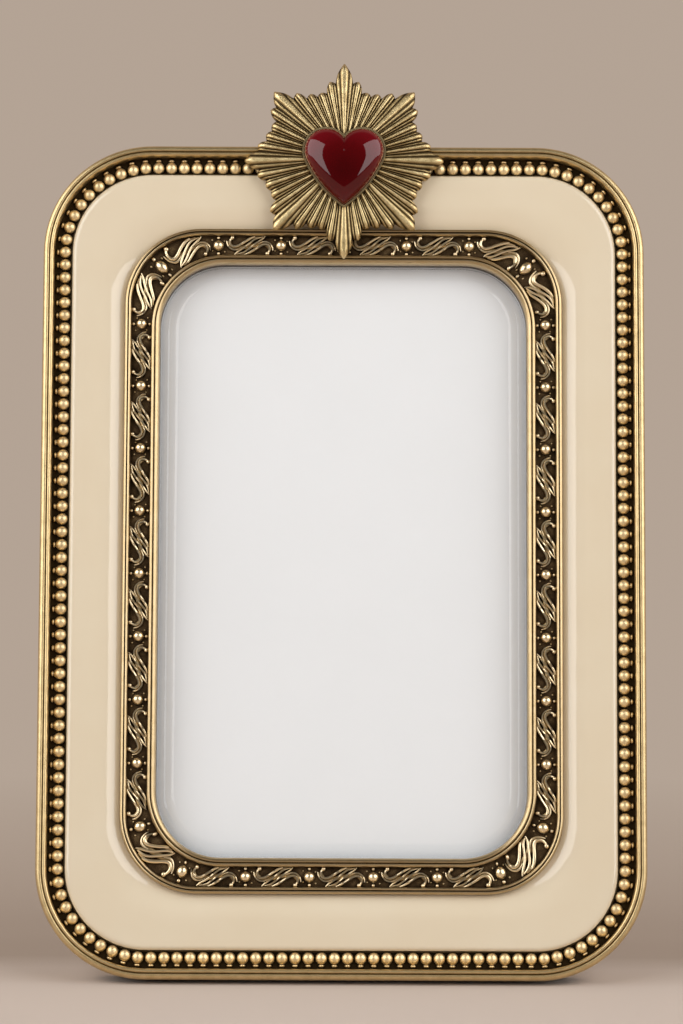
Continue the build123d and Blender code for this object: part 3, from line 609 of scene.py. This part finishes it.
# The two rails of the scroll band: brass wires with a fine groove that makes a double line, one
# against the enamel and one round the window, soldered to the floor of the border.
SIGHT = (91.1, 147.6, 16.0)            # the window
OUTER_RAIL_WIDTH = 1.7
INNER_RAIL_WIDTH = 2.2
OUTER_RAIL = ((0.0, 0.0), (0.0, 1.9), (0.08, 2.3), (0.26, 2.58), (0.48, 2.66), (0.68, 2.58), (0.78, 2.36),
              (0.84, 2.3), (0.92, 2.38), (1.04, 2.62), (1.24, 2.7), (1.46, 2.62), (1.62, 2.34),
              (OUTER_RAIL_WIDTH, 1.9))
INNER_RAIL = ((0.0, 0.0), (0.0, 1.9), (0.08, 2.34), (0.26, 2.6), (0.5, 2.7), (0.74, 2.62), (0.86, 2.4),
              (0.94, 2.32), (1.02, 2.4), (1.16, 2.6), (1.4, 2.66), (1.7, 2.5), (1.95, 2.15), (2.12, 1.7),
              (INNER_RAIL_WIDTH, 1.2))
RAIL_BRIGHT = (0.54, 0.41, 0.235, 1)

rail_brass = antique_brass("rail_brass", RAIL_BRIGHT, SHADE_BRASS, PATINA, recess=1.3, hollow_reach=0.6,
                           roughness=(0.32, 0.45), mottle=0.35)
outer_rail = moulding("band_outer_wire", BAND_OUTER, FLOOR, OUTER_RAIL)
as_piece(outer_rail, rail_brass, "band_outer_rail")
inner_rail = moulding("window_wire", inset(SIGHT, -INNER_RAIL_WIDTH), FLOOR, INNER_RAIL)
as_piece(inner_rail, rail_brass, "band_inner_rail")


# The scroll band: a strip of brass patinated nearly black, with cast S-scrolls soldered on it.
# Each scroll is two leaves of doubled wire: one hooks round to the window, the other outwards.
BAND_BASE = 0.9                        # the thickness of the strip
SCROLL_COUNT = 31
CORNER_SWELL = 0.42                    # how much wider the pattern is at the corners of the band
# Each stroke is its half-width, its height over the strip and its points: along and in.
SCROLL_STROKES = (
    (0.33, 0.74, ((-4.4, 2.1), (-5.1, 1.3), (-5.05, 0.2), (-4.2, -0.4), (-3.0, -0.2), (-1.8, 0.6),
                  (-0.6, 1.4), (0.5, 2.05), (1.3, 2.35))),
    (0.25, 0.72, ((-3.8, -2.35), (-3.2, -1.6), (-1.9, -0.9), (-0.6, 0.1), (0.7, 1.25), (1.9, 2.0),
                  (3.3, 2.2))),
    (0.25, 0.46, ((-5.75, 1.2), (-5.65, 0.1), (-4.7, -1.0), (-3.4, -1.2), (-2.0, -0.5))),
    (0.34, 0.36, ((-2.6, -2.3), (-1.2, -2.15), (0.2, -1.75))),
)
# The broad body under them, sunk in the strip but for its back.
SCROLL_BODY = (0.80, -0.42, ((-4.9, 1.1), (-4.8, -0.1), (-3.6, -0.75), (-2.0, -0.4), (0.0, 0.0), (2.0, 0.4),
                             (3.6, 0.75), (4.8, 0.1), (4.9, -1.1)))
WIRE_END = 0.55                        # how thick a wire is at its ends, as a share
HOOK_BALL = 0.55                       # the radius of the ball at the end of a hook
HOOK_BALL_AT = (-4.35, 2.0)
HOOK_BALL_FACETS = (8, 6)
SCROLLS_DARK_TO = 0.65                 # the heights over the floor where the dark ends
SCROLLS_BRIGHT_FROM = 1.45             # and where the wires are rubbed bright
SCROLL_BRIGHT = (0.97, 0.79, 0.51, 1)
SCROLL_SHADE = (0.56, 0.41, 0.21, 1)
STRIP_BRIGHT = (0.22, 0.145, 0.07, 1)
STRIP_SHADE = (0.085, 0.053, 0.026, 1)
STRIP_PATINA = (0.018, 0.011, 0.006, 1)

strip_brass = antique_brass("band_patina", STRIP_BRIGHT, STRIP_SHADE, STRIP_PATINA, recess=0.7,
                            roughness=(0.4, 0.65), mottle=0.9, relief=0.6)
dress("scroll_band_base", strip_brass)


def wire(radius, lift, points):
    """A thin raised wire along points of the scroll's plan, thinner towards its ends."""
    curve = bpy.data.curves.new("scroll_wire", "CURVE")
    curve.dimensions = "3D"
    curve.bevel_depth = radius
    curve.bevel_resolution = 1
    curve.resolution_u = 3
    curve.use_fill_caps = True
    line = curve.splines.new("NURBS")
    line.points.add(len(points) - 1)
    for number, (along, inward) in enumerate(points):
        line.points[number].co = (along, inward, lift, 1)
        at_end = number in (0, len(points) - 1)
        line.points[number].radius = WIRE_END if at_end else 1.0
    line.order_u = 4
    line.use_endpoint_u = True
    made = bpy.data.objects.new("scroll_wire", curve)
    bpy.context.scene.collection.objects.link(made)
    only(made)
    bpy.ops.object.convert(target="MESH")
    return bpy.context.object


def turned_over(points):
    """The same line turned half a turn about the middle of the scroll."""
    return [(-along, -inward) for along, inward in points]


def bend_along(outline, origin, point):
    """Carry a point of a pattern to its place, bending the pattern with the outline's corners."""
    x, y, heading = walk(outline, (origin + point.x) % length_of(outline))
    swell = 1 + CORNER_SWELL * sin(2 * heading) ** 2
    inward = point.y * swell
    return Vector((x - inward * sin(heading), y + inward * cos(heading), point.z))


channel_edges = zip(inset(BAND_OUTER, OUTER_RAIL_WIDTH), inset(SIGHT, -INNER_RAIL_WIDTH))
CHANNEL = tuple((outer + inner) / 2 for outer, inner in channel_edges)
strands = [wire(*SCROLL_BODY)]
for radius, lift, points in SCROLL_STROKES:
    strands.append(wire(radius, lift, points))
    strands.append(wire(radius, lift, turned_over(points)))
for along, inward in [HOOK_BALL_AT, *turned_over([HOOK_BALL_AT])]:
    strands.append(ball(HOOK_BALL, 1, (along, inward, HOOK_BALL), HOOK_BALL_FACETS))
scroll = joined("s_scrolls", strands)
scrolls = spread(scroll, CHANNEL, SCROLL_COUNT, 0.0, FLOOR + BAND_BASE, bend_along)
stand_up(scrolls, smooth_to=60)
scroll_brass = antique_brass("scroll_brass", SCROLL_BRIGHT, SCROLL_SHADE, PATINA, recess=0.35,
                             hollow_reach=0.4, low=FLOOR + SCROLLS_DARK_TO, high=FLOOR + SCROLLS_BRIGHT_FROM,
                             roughness=(0.30, 0.45), mottle=0.15)
as_piece(scrolls, scroll_brass, "scroll_ornaments")


# The studs: a round stud between each pair of scrolls, with a collar of small granules, and
# granules in the crook of each hook. All are soldered to the patinated strip.
STUD_RADIUS = 1.32
STUD_UP = 0.45                         # how far the middle of a stud stands over the strip
STUD_FACETS = (16, 10)
GRAIN_UP = 0.5                         # the same for a granule, as a share of its radius
GRAIN_FACETS = (10, 6)
# Each granule is its place along and in, and its radius.
GRAINS = ((0.0, 2.0, 0.42), (0.0, -2.0, 0.42), (-1.55, 1.5, 0.24), (1.55, -1.5, 0.24), (-1.5, -1.2, 0.22),
          (1.5, 1.25, 0.22), (-3.6, 0.9, 0.26), (3.6, -0.9, 0.26))
group = []
for along, inward, radius in GRAINS:
    group.append(ball(radius, 1, (along, inward, radius * GRAIN_UP), GRAIN_FACETS))
group.append(ball(STUD_RADIUS, 1, (0, 0, STUD_UP), STUD_FACETS))
stud = joined("band_studs", group)
studs = spread(stud, CHANNEL, SCROLL_COUNT, 0.5, FLOOR + BAND_BASE, bend_along)
stand_up(studs, smooth_to=60)
as_piece(studs, scroll_brass, "scroll_studs")


# The sunburst: an eight-pointed star cast in gilt brass, with four short rays between each pair
# of long ones. Each ray has a raised ridge between two fine grooves, and the flutes are dark.
STAR_MIDDLE = OUTER[1] - 4.1
STAR_BACK = 12.0                       # the height of its flat back over the rear of the border
STAR_RADIUS = 24.9
STAR_POINTS = 8
LONG_RAY_SPREAD = 12.5                 # degrees
UPRIGHT_SHARES = (0.82, 0.73, 0.76, 0.84)        # the short rays from an upright ray to a slanting one
LEVEL_SHARES = (0.90, 0.81, 0.825, 0.88)         # and from a slanting ray to a level one
VALLEY_SHARE = 0.965                   # how far out the notch between two rays lies
LONG_POINTED = 0.70                    # how pointed a ray's tip is, from 0 for blunt to 1
SHORT_POINTED = 0.55
LONG_BLUNTNESS = 6                     # the power that sets how square its blunt part is
SHORT_BLUNTNESS = 4
RAY_STEPS = 20
STAR_RINGS = 40
HUB_HEIGHT = 3.1
TIP_HEIGHT = 1.35
HUB_FALL = 1.2                         # the power by which the rays fall from the hub to the tips
RIDGE_HEIGHT = 0.70
RIDGE_ROUNDNESS = 2.5                  # the power of its section: a higher one is fuller
RIDGE_FULL_AT = 8.0                    # the radius at which the ridges reach their full height
GROOVE_DEPTH = 0.36
GROOVE_FULL_AT = 12.0
GROOVE_AT = 0.48                       # where a groove lies, from the ridge to the edge of its ray
GROOVE_WIDTH = 0.14
TIP_ROUND_FROM = 0.93                  # where a ray begins to round off, as a share of its length
TIP_DROP = 0.5
TIP_RIDGE = 0.4                        # what is left of the ridge at the very tip
EDGE_HEIGHT = 0.45                     # the least height of a ray over the back
VALLEY_DARK_FROM = 0.74                # where the dark of the flutes begins
GROOVE_DARK = 0.80
BACK_RUBBED = 0.8
STAR_BRIGHT = (0.93, 0.74, 0.40, 1)
STAR_SHADE = (0.46, 0.33, 0.15, 1)
STAR_PATINA = (0.05, 0.032, 0.014, 1)


def star_rays():
    """The rays as [bearing, half spread, tip radius, is it long, notch before, notch after]."""
    sector = 360 / STAR_POINTS
    short_spread = (sector - LONG_RAY_SPREAD) / len(UPRIGHT_SHARES)
    rays = []
    for point in range(STAR_POINTS):
        bearing = 90 + point * sector
        rays.append([bearing, LONG_RAY_SPREAD / 2, STAR_RADIUS, True])
        bearing += (LONG_RAY_SPREAD - short_spread) / 2
        shares = (UPRIGHT_SHARES, LEVEL_SHARES, LEVEL_SHARES[::-1], UPRIGHT_SHARES[::-1])[point % 4]
        for share in shares:
            bearing += short_spread
            rays.append([bearing, short_spread / 2, STAR_RADIUS * share, False])
    radii = [ray[2] for ray in rays]
    for number, ray in enumerate(rays):
        for other in (number - 1, (number + 1) % len(rays)):
            ray.append(min(ray[2], radii[other]) * VALLEY_SHARE)
    return rays


def ray_reach(across, tip, is_long, notch):
    """How far out a ray reaches at a place across it, which is 0 on its ridge and 1 at its edges."""
    pointed = LONG_POINTED if is_long else SHORT_POINTED
    blunt = 1 - across ** (LONG_BLUNTNESS if is_long else SHORT_BLUNTNESS)
    return notch + (tip - notch) * (pointed * (1 - across) + (1 - pointed) * blunt)


def groove_share(across):
    """How deep a groove is at a place across its ray."""
    return exp(-((across - GROOVE_AT) / GROOVE_WIDTH) ** 2)


def ray_height(share, across, radius):
    """The height over the back at a share of the ray's length and a place across it."""
    height = HUB_HEIGHT + (TIP_HEIGHT - HUB_HEIGHT) * (radius / STAR_RADIUS) ** HUB_FALL
    ridge = RIDGE_HEIGHT * min(1.0, radius / RIDGE_FULL_AT) * (1 - across ** RIDGE_ROUNDNESS)
    groove = GROOVE_DEPTH * min(1.0, radius / GROOVE_FULL_AT) * groove_share(across)
    full = 1 - max(0.0, (share - TIP_ROUND_FROM) / (1 - TIP_ROUND_FROM)) ** 2
    height += ridge * (TIP_RIDGE + (1 - TIP_RIDGE) * full) - groove * full - TIP_DROP * (1 - full)
    return max(EDGE_HEIGHT, height)


columns = []
for bearing, half, tip, is_long, notch_before, notch_after in star_rays():
    for step in range(RAY_STEPS):
        side = (step + 0.5) / RAY_STEPS * 2 - 1
        notch = notch_before if side < 0 else notch_after
        columns.append((radians(bearing + side * half), abs(side), ray_reach(abs(side), tip, is_long, notch)))

bpy.ops.object.select_all(action="DESELECT")
bpy.ops.mesh.primitive_circle_add(vertices=len(columns), radius=1.0, fill_type="NOTHING")
star = bpy.context.object
star.name = "sunburst_rays"
bpy.ops.object.mode_set(mode="EDIT")
bpy.ops.mesh.select_all(action="SELECT")
for ring in range(STAR_RINGS, 1, -1):
    bpy.ops.mesh.extrude_edges_move()
    bpy.ops.transform.resize(value=[(ring - 1) / ring] * 3)
bpy.ops.mesh.extrude_edges_move()
bpy.ops.mesh.merge(type="CENTER")
bpy.ops.object.mode_set(mode="OBJECT")
rubbed = star.data.attributes.new("rubbed", "FLOAT", "POINT")
for point in star.data.vertices:
    share = hypot(point.co.x, point.co.y)
    if share < 0.5 / STAR_RINGS:
        point.co = (0, STAR_MIDDLE, STAR_BACK + HUB_HEIGHT)
        continue
    number = round(atan2(point.co.y, point.co.x) / (2 * pi) * len(columns)) % len(columns)
    angle, across, reach = columns[number]
    radius = share * reach
    in_valley = max(0.0, (across - VALLEY_DARK_FROM) / (1 - VALLEY_DARK_FROM))
    rubbed.data[point.index].value = (1 - GROOVE_DARK * groove_share(across)) * (1 - in_valley)
    height = STAR_BACK + ray_height(share, across, radius)
    point.co = (radius * cos(angle), STAR_MIDDLE + radius * sin(angle), height)
drop_edges(star, STAR_BACK)
for point in star.data.vertices:
    if point.select:
        star.data.attributes["rubbed"].data[point.index].value = BACK_RUBBED
bpy.ops.object.mode_set(mode="EDIT")
bpy.ops.mesh.edge_face_add()
face_outwards()
stand_up(star, smooth_to=60)
star_brass = antique_brass("sunburst_brass", STAR_BRIGHT, STAR_SHADE, STAR_PATINA, recess=0.9,
                           hollow_reach=0.7, roughness=(0.30, 0.5), mottle=0.50, relief=0.8,
                           rubbed="rubbed")
as_piece(star, star_brass, "starburst")
bezel_brass = antique_brass("bezel_brass", BRIGHT_BRASS, SHADE_BRASS, PATINA, recess=0.6, hollow_reach=0.5,
                            roughness=(0.3, 0.45))
dress("heart_bezel", bezel_brass)


# The heart stone: a deep red glass cabochon, flat underneath and domed on top, held by the thin
# wall of its cup. A soft crease runs down from the notch between its lobes.
LOBE_RADIUS = 5.5
LOBE_OUT = 4.45                        # the middle of a lobe, from the heart's middle
LOBE_UP = 2.9
HEART_TIP = -11.0
HIP_ANGLE = -22.0                      # where a lobe passes into its flank, in degrees
HEART_MIDDLE = STAR_MIDDLE - 0.8
STONE_BOTTOM = STAR_BACK + 2.5         # on the floor of its cup, which is let into the hub
CUP_FIT = 0.99                         # the share of the cup's opening that the stone fills
GIRDLE = 1.0                           # the height of its upright edge
CROWN = 4.4                            # the height of the dome over it
CROWN_SQUARENESS = 2.6                 # the power of its section, where 2 is round
CROWN_CENTRE_UP = -0.6                 # the dome's middle, from the heart's middle
HEART_STEPS = 128
HEART_RINGS = 22
RUBY_MIDDLE_UP = -3.0                  # where the painted glow leaves the stone darkest, from the heart's middle
RUBY_REACH = (13, 13, 30)              # how far from there the painted glow makes it lighter
RUBY_EDGE_GLOW = (0.16, 0.004, 0.008, 1)
RUBY = (0.085, 0.001, 0.002, 1)
RUBY_DARKEST = (0.035, 0.0003, 0.0006, 1)


def heart_point(share):
    """A point of the heart's outline, from the notch round the right lobe to the tip, for 0 to 1."""
    start = atan2(sqrt(LOBE_RADIUS ** 2 - LOBE_OUT ** 2), -LOBE_OUT)
    hip = radians(HIP_ANGLE)
    hip_x, hip_y = LOBE_OUT + LOBE_RADIUS * cos(hip), LOBE_UP + LOBE_RADIUS * sin(hip)
    chord_x, chord_y = -hip_x, HEART_TIP - hip_y
    normal = Vector((-cos(hip), -sin(hip)))
    radius = (chord_x ** 2 + chord_y ** 2) / (2 * (chord_x * normal.x + chord_y * normal.y))
    centre = Vector((hip_x, hip_y)) + normal * radius
    sweep = 2 * atan2(hypot(chord_x, chord_y) / 2, sqrt(radius ** 2 - (chord_x ** 2 + chord_y ** 2) / 4))
    lobe_length = (start - hip) * LOBE_RADIUS
    flank_length = sweep * radius
    distance = share * (lobe_length + flank_length)
    if distance <= lobe_length:
        angle = start - distance / LOBE_RADIUS
        return LOBE_OUT + LOBE_RADIUS * cos(angle), LOBE_UP + LOBE_RADIUS * sin(angle)
    angle = hip - (distance - lobe_length) / radius
    return centre.x + radius * cos(angle), centre.y + radius * sin(angle)


bpy.ops.object.select_all(action="DESELECT")
bpy.ops.mesh.primitive_circle_add(vertices=HEART_STEPS, radius=1.0, fill_type="NOTHING")
heart = bpy.context.object
heart.name = "heart_cabochon"
for number, point in enumerate(heart.data.vertices):
    share = number / HEART_STEPS * 2
    x, y = heart_point(share if share <= 1 else 2 - share)
    point.co = ((x if share <= 1 else -x) * CUP_FIT, (y - CROWN_CENTRE_UP) * CUP_FIT, 0)
bpy.ops.object.mode_set(mode="EDIT")
bpy.ops.mesh.select_all(action="SELECT")
bpy.ops.mesh.extrude_edges_move()
bpy.ops.transform.translate(value=(0, 0, GIRDLE))
last_scale = 1.0
last_height = 0.0
for ring in range(1, HEART_RINGS):
    scale = cos(ring / HEART_RINGS * pi / 2)
    height = (1 - scale ** CROWN_SQUARENESS) ** (1 / CROWN_SQUARENESS)
    bpy.ops.mesh.extrude_edges_move()
    bpy.ops.transform.resize(value=(scale / last_scale, scale / last_scale, 1), center_override=(0, 0, 0))
    bpy.ops.transform.translate(value=(0, 0, (height - last_height) * CROWN))
    last_scale = scale
    last_height = height
bpy.ops.mesh.edge_face_add()
select_open_edges()
bpy.ops.mesh.edge_face_add()
face_outwards()
bpy.ops.transform.translate(value=(0, HEART_MIDDLE + CROWN_CENTRE_UP, STONE_BOTTOM))
stand_up(heart, smooth_to=50)
ruby, tree, surface = fresh_material("ruby_glass")
place = along_border(tree)
# painted light: the stone is opaque, and the glow that a red glass lets through its edges is painted on,
# lighter red towards the edges and darkest a little below its middle
depth = node(tree, "ShaderNodeTexGradient", gradient_type="SPHERICAL")
shifted = node(tree, "ShaderNodeMapping", vector_type="TEXTURE")
shifted.inputs["Location"].default_value = (0, HEART_MIDDLE + RUBY_MIDDLE_UP, STONE_BOTTOM)
shifted.inputs["Scale"].default_value = RUBY_REACH
tree.links.new(place, shifted.inputs["Vector"])
tree.links.new(shifted.outputs["Vector"], depth.inputs["Vector"])
red = ramp(tree, depth.outputs["Fac"], [(0.0, RUBY_EDGE_GLOW), (0.45, RUBY), (1.0, RUBY_DARKEST)])
tree.links.new(red, surface.inputs["Base Color"])
surface.inputs["Roughness"].default_value = 0.03
surface.inputs["IOR"].default_value = 1.48
as_piece(heart, ruby, "heart_stone")


# The glass: a clear pane with a flat flange in the rebate and a low domed field that fills the
# window, with soft polished shoulders along its edges. The light that they would bend is painted as a grey
# shade over what shows through them.
GLASS_BACK = 4.83                      # the height of its flat back over the rear of the border
GLASS_CLEARANCE = 0.35                 # between the pane and the edge of the window
GLASS_FLANGE = 1.5                     # the thickness of the flange
GLASS_EDGE_REACH = 5.0                      # how far in from the edge the painted shade and the shoulder's extra reflection reach
GLASS_MIRROR = 0.085                   # how much the shoulder reflects head on, from both its faces
GLASS_MIRROR_LOSS = 0.045              # how much less of it there is in the middle
GLASS_MIRROR_GAIN = 0.92               # how much more there is where the pane is seen edge on
GLASS_MIRROR_POWER = 5.0               # how late that comes, as the view grows flatter
# The painted shade over what shows through the shoulder, from its edge to where it ends.
GLASS_EDGE_SHADE = ((0.0, (0.95, 0.95, 0.95, 1)), (0.10, (0.96, 0.963, 0.967, 1)), (0.30, (0.97, 0.974, 0.98, 1)),
              (0.50, (0.975, 0.98, 0.985, 1)), (0.70, (0.99, 0.994, 0.998, 1)), (0.82, (1, 1, 1, 1)))
# Its distance in and height over its back.
GLASS_SECTION = ((0.0, 0.0), (0.0, GLASS_FLANGE), (0.25, 1.75), (0.9, 2.0), (1.7, 2.15), (2.3, 2.32),
                 (2.7, 2.58), (3.0, 2.86), (3.3, 3.12), (3.6, 3.30), (4.0, 3.42), (4.7, 3.50), (6.5, 3.6),
                 (10.0, 3.66))

pane = flat_outline("domed_glass", inset(SIGHT, GLASS_CLEARANCE), GLASS_BACK)
follow(GLASS_SECTION)
face_outwards()
bpy.ops.object.mode_set(mode="OBJECT")
from_edge = pane.data.attributes.new("from_edge", "FLOAT", "POINT")
for point in pane.data.vertices:
    at_back = point.co.z < GLASS_BACK + GLASS_FLANGE / 2
    reach = GLASS_EDGE_REACH if at_back else reach_inside(point.co.x, point.co.y, SIGHT)
    from_edge.data[point.index].value = reach
stand_up(pane, smooth_to=60)
glass, tree, surface = fresh_material("picture_glass")
edge = node(tree, "ShaderNodeAttribute", attribute_name="from_edge")
inwards = between(tree, edge.outputs["Fac"], 0.0, GLASS_EDGE_REACH)
# painted shade: what shows through the shoulder is greyed towards the edge, in place of the light that the
# shoulder would bend
painted_edge_shade = ramp(tree, inwards, GLASS_EDGE_SHADE)
clear = node(tree, "ShaderNodeBsdfTransparent")
tree.links.new(painted_edge_shade, clear.inputs["Color"])
gloss = node(tree, "ShaderNodeBsdfGlossy", Roughness=0.03)
facing = node(tree, "ShaderNodeLayerWeight", Blend=0.5).outputs["Facing"]
flat_view = maths(tree, "POWER", facing, GLASS_MIRROR_POWER)
head_on = maths(tree, "MULTIPLY_ADD", inwards, -GLASS_MIRROR_LOSS, GLASS_MIRROR)
shine = maths(tree, "MULTIPLY_ADD", flat_view, GLASS_MIRROR_GAIN, head_on)
blend(tree, shine, clear.outputs["BSDF"], gloss.outputs["BSDF"])
tree.nodes.remove(surface)
as_piece(pane, glass, "glass_pane")


# The print and what packs it out: a blank white photo card against the glass, and a light
# grey board behind it.
CARD_WHITES = ((0.955, 0.968, 0.975, 1), (0.968, 0.98, 0.988, 1))
FILLER_GREYS = ((0.36, 0.33, 0.28, 1), (0.45, 0.41, 0.35, 1))


def matte(name, first, second, scale, roughness, relief=0.0):
    """A matt surface with two mottled tones and a little relief."""
    material, tree, surface = fresh_material(name)
    mottle = noise(tree, along_border(tree), scale, detail=4.0, roughness=0.6)
    tree.links.new(ramp(tree, mottle, [(0.3, first), (0.7, second)]), surface.inputs["Base Color"])
    surface.inputs["Roughness"].default_value = roughness
    if relief:
        relieve(tree, surface, mottle, strength=relief, distance=0.0001)
    return material


dress("photo_card", matte("white_card", *CARD_WHITES, scale=0.05, roughness=0.5))
dress("filler_board", matte("grey_board", *FILLER_GREYS, scale=3.0, roughness=0.9, relief=0.4))


# The rear plate closes the hollow of the casting: sheet brass, brushed, with countersunk steel
# screws. The folded rails for the back panel are riveted to it.
PLATE_BRASSES = ((0.40, 0.29, 0.14, 1), (0.62, 0.47, 0.24, 1))
SHEET_BRASSES = ((0.52, 0.38, 0.18, 1), (0.74, 0.57, 0.30, 1))
STEELS = ((0.42, 0.41, 0.40, 1), (0.62, 0.61, 0.59, 1))
UP_THE_FRAME = (1.2, 0.06, 1.2)        # the stretch of a grain that runs up the frame
EVEN = (1.0, 1.0, 1.0)


def brushed_metal(name, first, second, roughness, stretch):
    """Metal in two tones, with a fine brushed grain along its stretch and a few dull marks."""
    material, tree, surface = fresh_material(name)
    place = along_border(tree)
    drawn = node(tree, "ShaderNodeVectorMath", operation="MULTIPLY")
    drawn.inputs[1].default_value = stretch
    tree.links.new(place, drawn.inputs[0])
    streak = noise(tree, drawn.outputs["Vector"], scale=4.0, detail=4.0, roughness=0.7)
    cloud = noise(tree, place, scale=0.09, detail=4.0)
    both = maths(tree, "MULTIPLY_ADD", streak, 0.5, maths(tree, "MULTIPLY", cloud, 0.5))
    tree.links.new(ramp(tree, both, [(0.35, first), (0.65, second)]), surface.inputs["Base Color"])
    surface.inputs["Metallic"].default_value = 1.0
    rough = node(tree, "ShaderNodeMapRange")
    rough.inputs["To Min"].default_value = roughness * 0.8
    rough.inputs["To Max"].default_value = roughness * 1.3
    tree.links.new(cloud, rough.inputs["Value"])
    tree.links.new(rough.outputs["Result"], surface.inputs["Roughness"])
    relieve(tree, surface, streak, strength=0.15, distance=0.00005)
    return material


dress("rear_plate", brushed_metal("plate_brass", *PLATE_BRASSES, 0.38, UP_THE_FRAME))
sheet_brass = brushed_metal("sheet_brass", *SHEET_BRASSES, 0.3, UP_THE_FRAME)
steel = brushed_metal("plated_steel", *STEELS, 0.28, EVEN)
for name in ("rail_left", "rail_right", "rail_bottom", "rail_rivets", "hinge_fixed_leaf", "hinge_leg_leaf",
             "fixed_leaf_rivets", "leg_leaf_rivets"):
    dress(name, sheet_brass)
for name in ("starburst_screws", "rear_plate_screws", "hinge_pin"):
    dress(name, steel)


# The back panel and the easel leg: hardboard, covered behind with dark brown velvet that is glued
# on and wraps softly over the edges of the board.
BOARD_BROWNS = ((0.13, 0.085, 0.05, 1), (0.20, 0.135, 0.085, 1))
VELVET_DARK = (0.022, 0.014, 0.010, 1)
VELVET_LIGHT = (0.062, 0.040, 0.028, 1)
VELVET_ROUND = 0.00022                 # how softly it wraps over the edges, in metres
SAME_POINT = 0.000002                  # how near, in metres, points are welded
FLAT_WITHIN = 2                        # degrees, below which faces are merged to one
SHARP_FROM = 50                        # degrees, above which an edge is rounded

board = matte("hardboard", *BOARD_BROWNS, scale=2.5, roughness=0.8, relief=0.5)
dress("back_panel", board)
dress("easel_leg", board)

velvet, tree, surface = fresh_material("brown_velvet")
place = along_border(tree)
nap = noise(tree, place, scale=6.0, detail=4.0, roughness=0.7)
brushed = noise(tree, place, scale=0.05, detail=3.0)
both = maths(tree, "MULTIPLY_ADD", nap, 0.35, maths(tree, "MULTIPLY", brushed, 0.65))
pile = ramp(tree, both, [(0.38, VELVET_DARK), (0.62, VELVET_LIGHT)])
tree.links.new(pile, surface.inputs["Base Color"])
surface.inputs["Roughness"].default_value = 0.9
surface.inputs["Sheen Weight"].default_value = 0.6
surface.inputs["Sheen Roughness"].default_value = 0.4
surface.inputs["Sheen Tint"].default_value = (0.75, 0.6, 0.5, 1)
relieve(tree, surface, nap, strength=0.5, distance=0.00015)

for node_name, body in (("back_velvet", "back"), ("leg_velvet", "leg")):
    cover = bpy.data.objects[node_name].copy()
    cover.data = cover.data.copy()
    cover.name = node_name + "_cover"
    bpy.context.scene.collection.objects.link(cover)
    only(cover)
    bpy.ops.object.mode_set(mode="EDIT")
    bpy.ops.mesh.select_all(action="SELECT")
    bpy.ops.mesh.remove_doubles(threshold=SAME_POINT)
    bpy.ops.mesh.dissolve_limited(angle_limit=radians(FLAT_WITHIN))
    bpy.ops.object.mode_set(mode="OBJECT")
    soft = cover.modifiers.new("soft_edge", "BEVEL")
    soft.width = VELVET_ROUND
    soft.segments = 3
    soft.limit_method = "ANGLE"
    soft.angle_limit = radians(SHARP_FROM)
    bpy.ops.object.modifier_apply(modifier=soft.name)
    bpy.ops.object.shade_smooth_by_angle(angle=radians(SHARP_FROM))
    as_piece(cover, velvet, node_name, body)


# The finish: colours shown as they are.
bpy.context.scene.view_settings.view_transform = "Standard"
